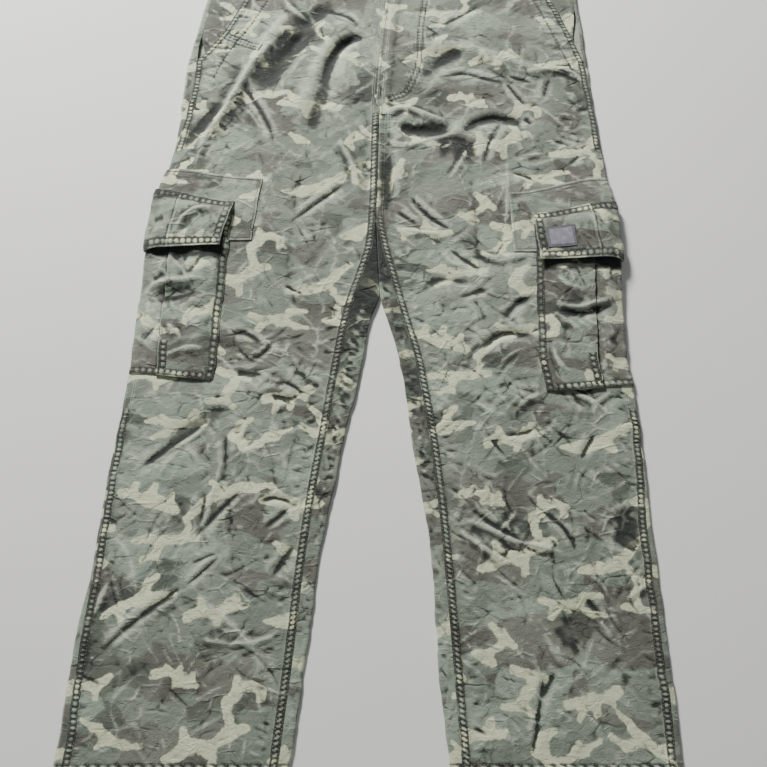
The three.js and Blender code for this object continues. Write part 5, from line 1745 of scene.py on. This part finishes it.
def twill():
    """Washed twill: the faded print, thread-level mottling, pale worn ridges and painted shade in creases, and
    the weave.
    """
    g = Graph("washed_camouflage_twill")
    cut = g.attribute("cut", "Vector")
    edge = g.math("MULTIPLY", g.math("SUBTRACT", g.noise(cut, 240, 3), 0.5), 4.0)
    wide = g.noise(cut, 14, 3)
    colour = SAGE
    for name, tone, low, high, share in (
        ("taupe", TAUPE, -1.6, 1.6, 0.88), ("dark", DEEP, -1.8, 1.8, 0.72), ("pale", MINT, -1.8, 1.8, 0.8),
        ("cream", CREAM, -0.9, 0.9, 0.92),
    ):
        distance = g.math("ADD", g.attribute(name), edge)
        colour = g.blend(g.ramp(distance, low, high, 0.0, share), colour, tone)
    colour = g.blend(g.ramp(wide, 0.3, 0.72, 0.0, 0.2), colour, FADED)
    lines, sense = g.creasing(cut, 46, 0.006, 5.0)
    small, small_sense = g.creasing(cut, 125, 0.003, 9.0)
    large_folds = g.math("MULTIPLY", lines, sense)
    small_folds = g.math("MULTIPLY", g.math("MULTIPLY", small, small_sense), 0.5)
    folds = g.math("ADD", large_folds, small_folds)
    # The shader's crease lines join the tone shift: paler on ridges, painted shade on troughs.
    tone_shift = g.math("ADD", g.attribute("tone_shift"), g.math("MULTIPLY", folds, 0.55))
    flecks = g.noise(g.scaled(cut, (1.0, 0.35, 1.0)), 1500, 2, 0.6)
    slubs = g.noise(g.scaled(cut, (0.3, 1.0, 1.0), 0.2), 420, 3, 0.7)
    mottle = g.math("ADD", g.math("MULTIPLY", flecks, 0.5), g.math("MULTIPLY", slubs, 0.5))
    pale = g.math("MULTIPLY", g.ramp(tone_shift, 0.05, 1.0), g.ramp(mottle, 0.25, 0.7, 0.45, 0.85))
    colour = g.blend(pale, colour, FADED)
    # Below zero the tone shift darkens the colour toward SHADE: painted shade in creases, seam grooves, large
    # folds and under the flaps.
    colour = g.blend(g.ramp(tone_shift, -0.1, -1.0, 0.0, 0.97), colour, SHADE)
    tint = g.ramp(mottle, 0.3, 0.7, 0.80, 1.18)
    colour = g.blend(1.0, colour, g.node("CombineColor", {0: tint, 1: tint, 2: tint}).outputs[0], "MULTIPLY")
    colour = g.blend(g.math("MULTIPLY", g.attribute("reverse"), 0.8), colour, BACKSIDE)
    weave = g.waves(g.scaled(cut, (1, 1, 1), math.radians(63)), 0.0011)
    normal = g.bump(weave, 0.00012)
    normal = g.bump(g.noise(cut, 700, 3, 0.6), 0.0002, normal=normal)
    normal = g.bump(folds, 0.0007, normal=normal)
    normal = g.bump(g.noise(cut, 90, 4, 0.6), 0.0012, normal=normal)
    return g.finish(
        Base_Color=colour, Roughness=g.ramp(mottle, 0.2, 0.8, 0.82, 0.95), Normal=normal,
        Specular_IOR_Level=0.25, Sheen_Weight=0.18, Sheen_Roughness=0.6,
    )


def thread():
    g = Graph("sewing_thread")
    spun = g.node("TexCoord", {}).outputs["Object"]
    colour = g.blend(g.ramp(g.attribute("tone_shift"), -1, 1), (0.045, 0.05, 0.038, 1), (0.17, 0.18, 0.13, 1))
    ply = g.noise(spun, 2600, 2)
    colour = g.blend(g.ramp(ply, 0.35, 0.7, 0.0, 0.4), colour, (0.30, 0.31, 0.24, 1))
    return g.finish(
        Base_Color=colour, Roughness=0.7, Normal=g.bump(ply, 0.0001),
        Sheen_Weight=0.1, Specular_IOR_Level=0.3,
    )


def woven():
    """A damask tag: fine crossed threads in grey lilac, with paler blotches and a darker edge."""
    g = Graph("woven_tag_cloth")
    cut = g.attribute("cut", "Vector")
    warp, weft = g.waves(cut, 0.0008), g.waves(g.scaled(cut, (1, 1, 1), math.radians(90)), 0.0006)
    cross = g.math("MULTIPLY", warp, weft)
    colour = g.blend(g.ramp(cross, 0.0, 0.8), (0.17, 0.165, 0.205, 1), (0.36, 0.35, 0.41, 1))
    colour = g.blend(g.ramp(g.noise(cut, 160, 3), 0.4, 0.75, 0.0, 0.4), colour, (0.42, 0.42, 0.48, 1))
    tone_shift = g.attribute("tone_shift")
    colour = g.blend(g.ramp(tone_shift, 0.1, 1.0, 0.0, 0.75), colour, (0.085, 0.085, 0.115, 1))
    colour = g.blend(g.ramp(tone_shift, -0.1, -0.6, 0.0, 0.5), colour, (0.05, 0.05, 0.07, 1))
    return g.finish(
        Base_Color=colour, Roughness=0.6, Normal=g.bump(cross, 0.0002),
        Sheen_Weight=0.2, Specular_IOR_Level=0.4,
    )


def metal():
    """Dull antique brass, darker in random blotches and rubbed bright on its highest parts."""
    g = Graph("antique_metal")
    spot = g.node("TexCoord", {}).outputs["Object"]
    grime = g.noise(spot, 500, 4, 0.65)
    colour = g.blend(g.ramp(grime, 0.35, 0.7), (0.30, 0.255, 0.18, 1), (0.13, 0.115, 0.09, 1))
    colour = g.blend(g.ramp(g.attribute("tone_shift"), 1.1, 1.5, 0.0, 0.7), colour, (0.52, 0.46, 0.34, 1))
    return g.finish(
        Base_Color=colour, Metallic=0.9, Roughness=g.ramp(grime, 0.3, 0.7, 0.32, 0.6),
        Normal=g.bump(grime, 0.0001),
    )


def floor_material():
    g = Graph("pale_floor")
    spot = g.node("TexCoord", {}).outputs["Object"]
    colour = g.blend(g.noise(spot, 3, 2), (0.78, 0.78, 0.77, 1), (0.82, 0.82, 0.81, 1))
    return g.finish(Base_Color=colour, Roughness=0.9, Specular_IOR_Level=0.2)


TWILL, THREAD, WOVEN, METAL = twill(), thread(), woven(), metal()


def declare(panel, node):
    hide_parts(node)


def build_garment():
    for side in SIDES:
        name = NAMES[side]
        back_panel, front_panel = back(side), front(side)
        patch_panel, bag_panel, flap_panel = patch(side), bag(side), flap(side)
        declare(back_panel, "back_" + name)
        declare(front_panel, "front_" + name)
        declare(patch_panel, "patch_" + name)
        declare(bag_panel, "cargo_pocket_" + name)
        declare(flap_panel, "cargo_flap_" + name)
        declare(facing(side), "pocket_facing_" + name)
        for made in (sew_front(side, front_panel), sew_back(side, back_panel),
                     sew_pocket(side, patch_panel, bag_panel, flap_panel)):
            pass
    band = waistband()
    declare(band, "waistband")
    tag_object, tag_points, tag_normals = tag(FLY_SIDE)
    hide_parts("flap_tag")
    sew_band(band, tag_points, tag_normals)
    buttonhole()
    button_object = button()
    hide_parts("waist_button")


def build_studio():
    bpy.ops.mesh.primitive_plane_add(size=9, location=(0, 0, -0.0004))
    floor = bpy.context.object
    floor.name = "studio_floor"
    floor.data.materials.append(floor_material())

    def light(name, at, aim, size, power, colour):
        data = bpy.data.lights.new(name, "AREA")
        data.size, data.energy, data.color = size, power, colour
        made = bpy.data.objects.new(name, data)
        made.location = at
        way = np.array(aim, float) - np.array(at, float)
        made.rotation_euler = (
            math.acos(-way[2] / np.linalg.norm(way)), 0, math.atan2(way[0], -way[1]) + math.pi
        )
        bpy.context.scene.collection.objects.link(made)

    light("key_light", (-1.0, 2.05, 1.4), (0, -0.05, 0), 0.55, 158, (1.0, 0.985, 0.96))
    light("fill_light", (0.9, -2.0, 2.4), (0, 0, 0), 2.6, 12, (0.96, 0.98, 1.0))
    world = bpy.data.worlds.new("studio_air")
    world.use_nodes = True
    sky = world.node_tree.nodes["Background"]
    sky.inputs["Color"].default_value = (0.95, 0.97, 1.0, 1)
    sky.inputs["Strength"].default_value = 0.12
    bpy.context.scene.world = world


# The camera looks down from the foot end at the photograph's angle.
CAMERA_TILT = math.radians(18)
CAMERA_RANGE = 0.954
CAMERA_LENS = 38.11


def build_camera():
    data = bpy.data.cameras.new("camera")
    data.lens, data.sensor_width = CAMERA_LENS, 36
    data.clip_start = 0.01
    made = bpy.data.objects.new("camera", data)
    aim = SHIFT * MM
    made.location = (
        aim[0], aim[1] - CAMERA_RANGE * math.sin(CAMERA_TILT), CAMERA_RANGE * math.cos(CAMERA_TILT)
    )
    made.rotation_euler = (CAMERA_TILT, 0, 0)
    bpy.context.scene.collection.objects.link(made)
    bpy.context.scene.camera = made


build_camera()
build_studio()
build_garment()
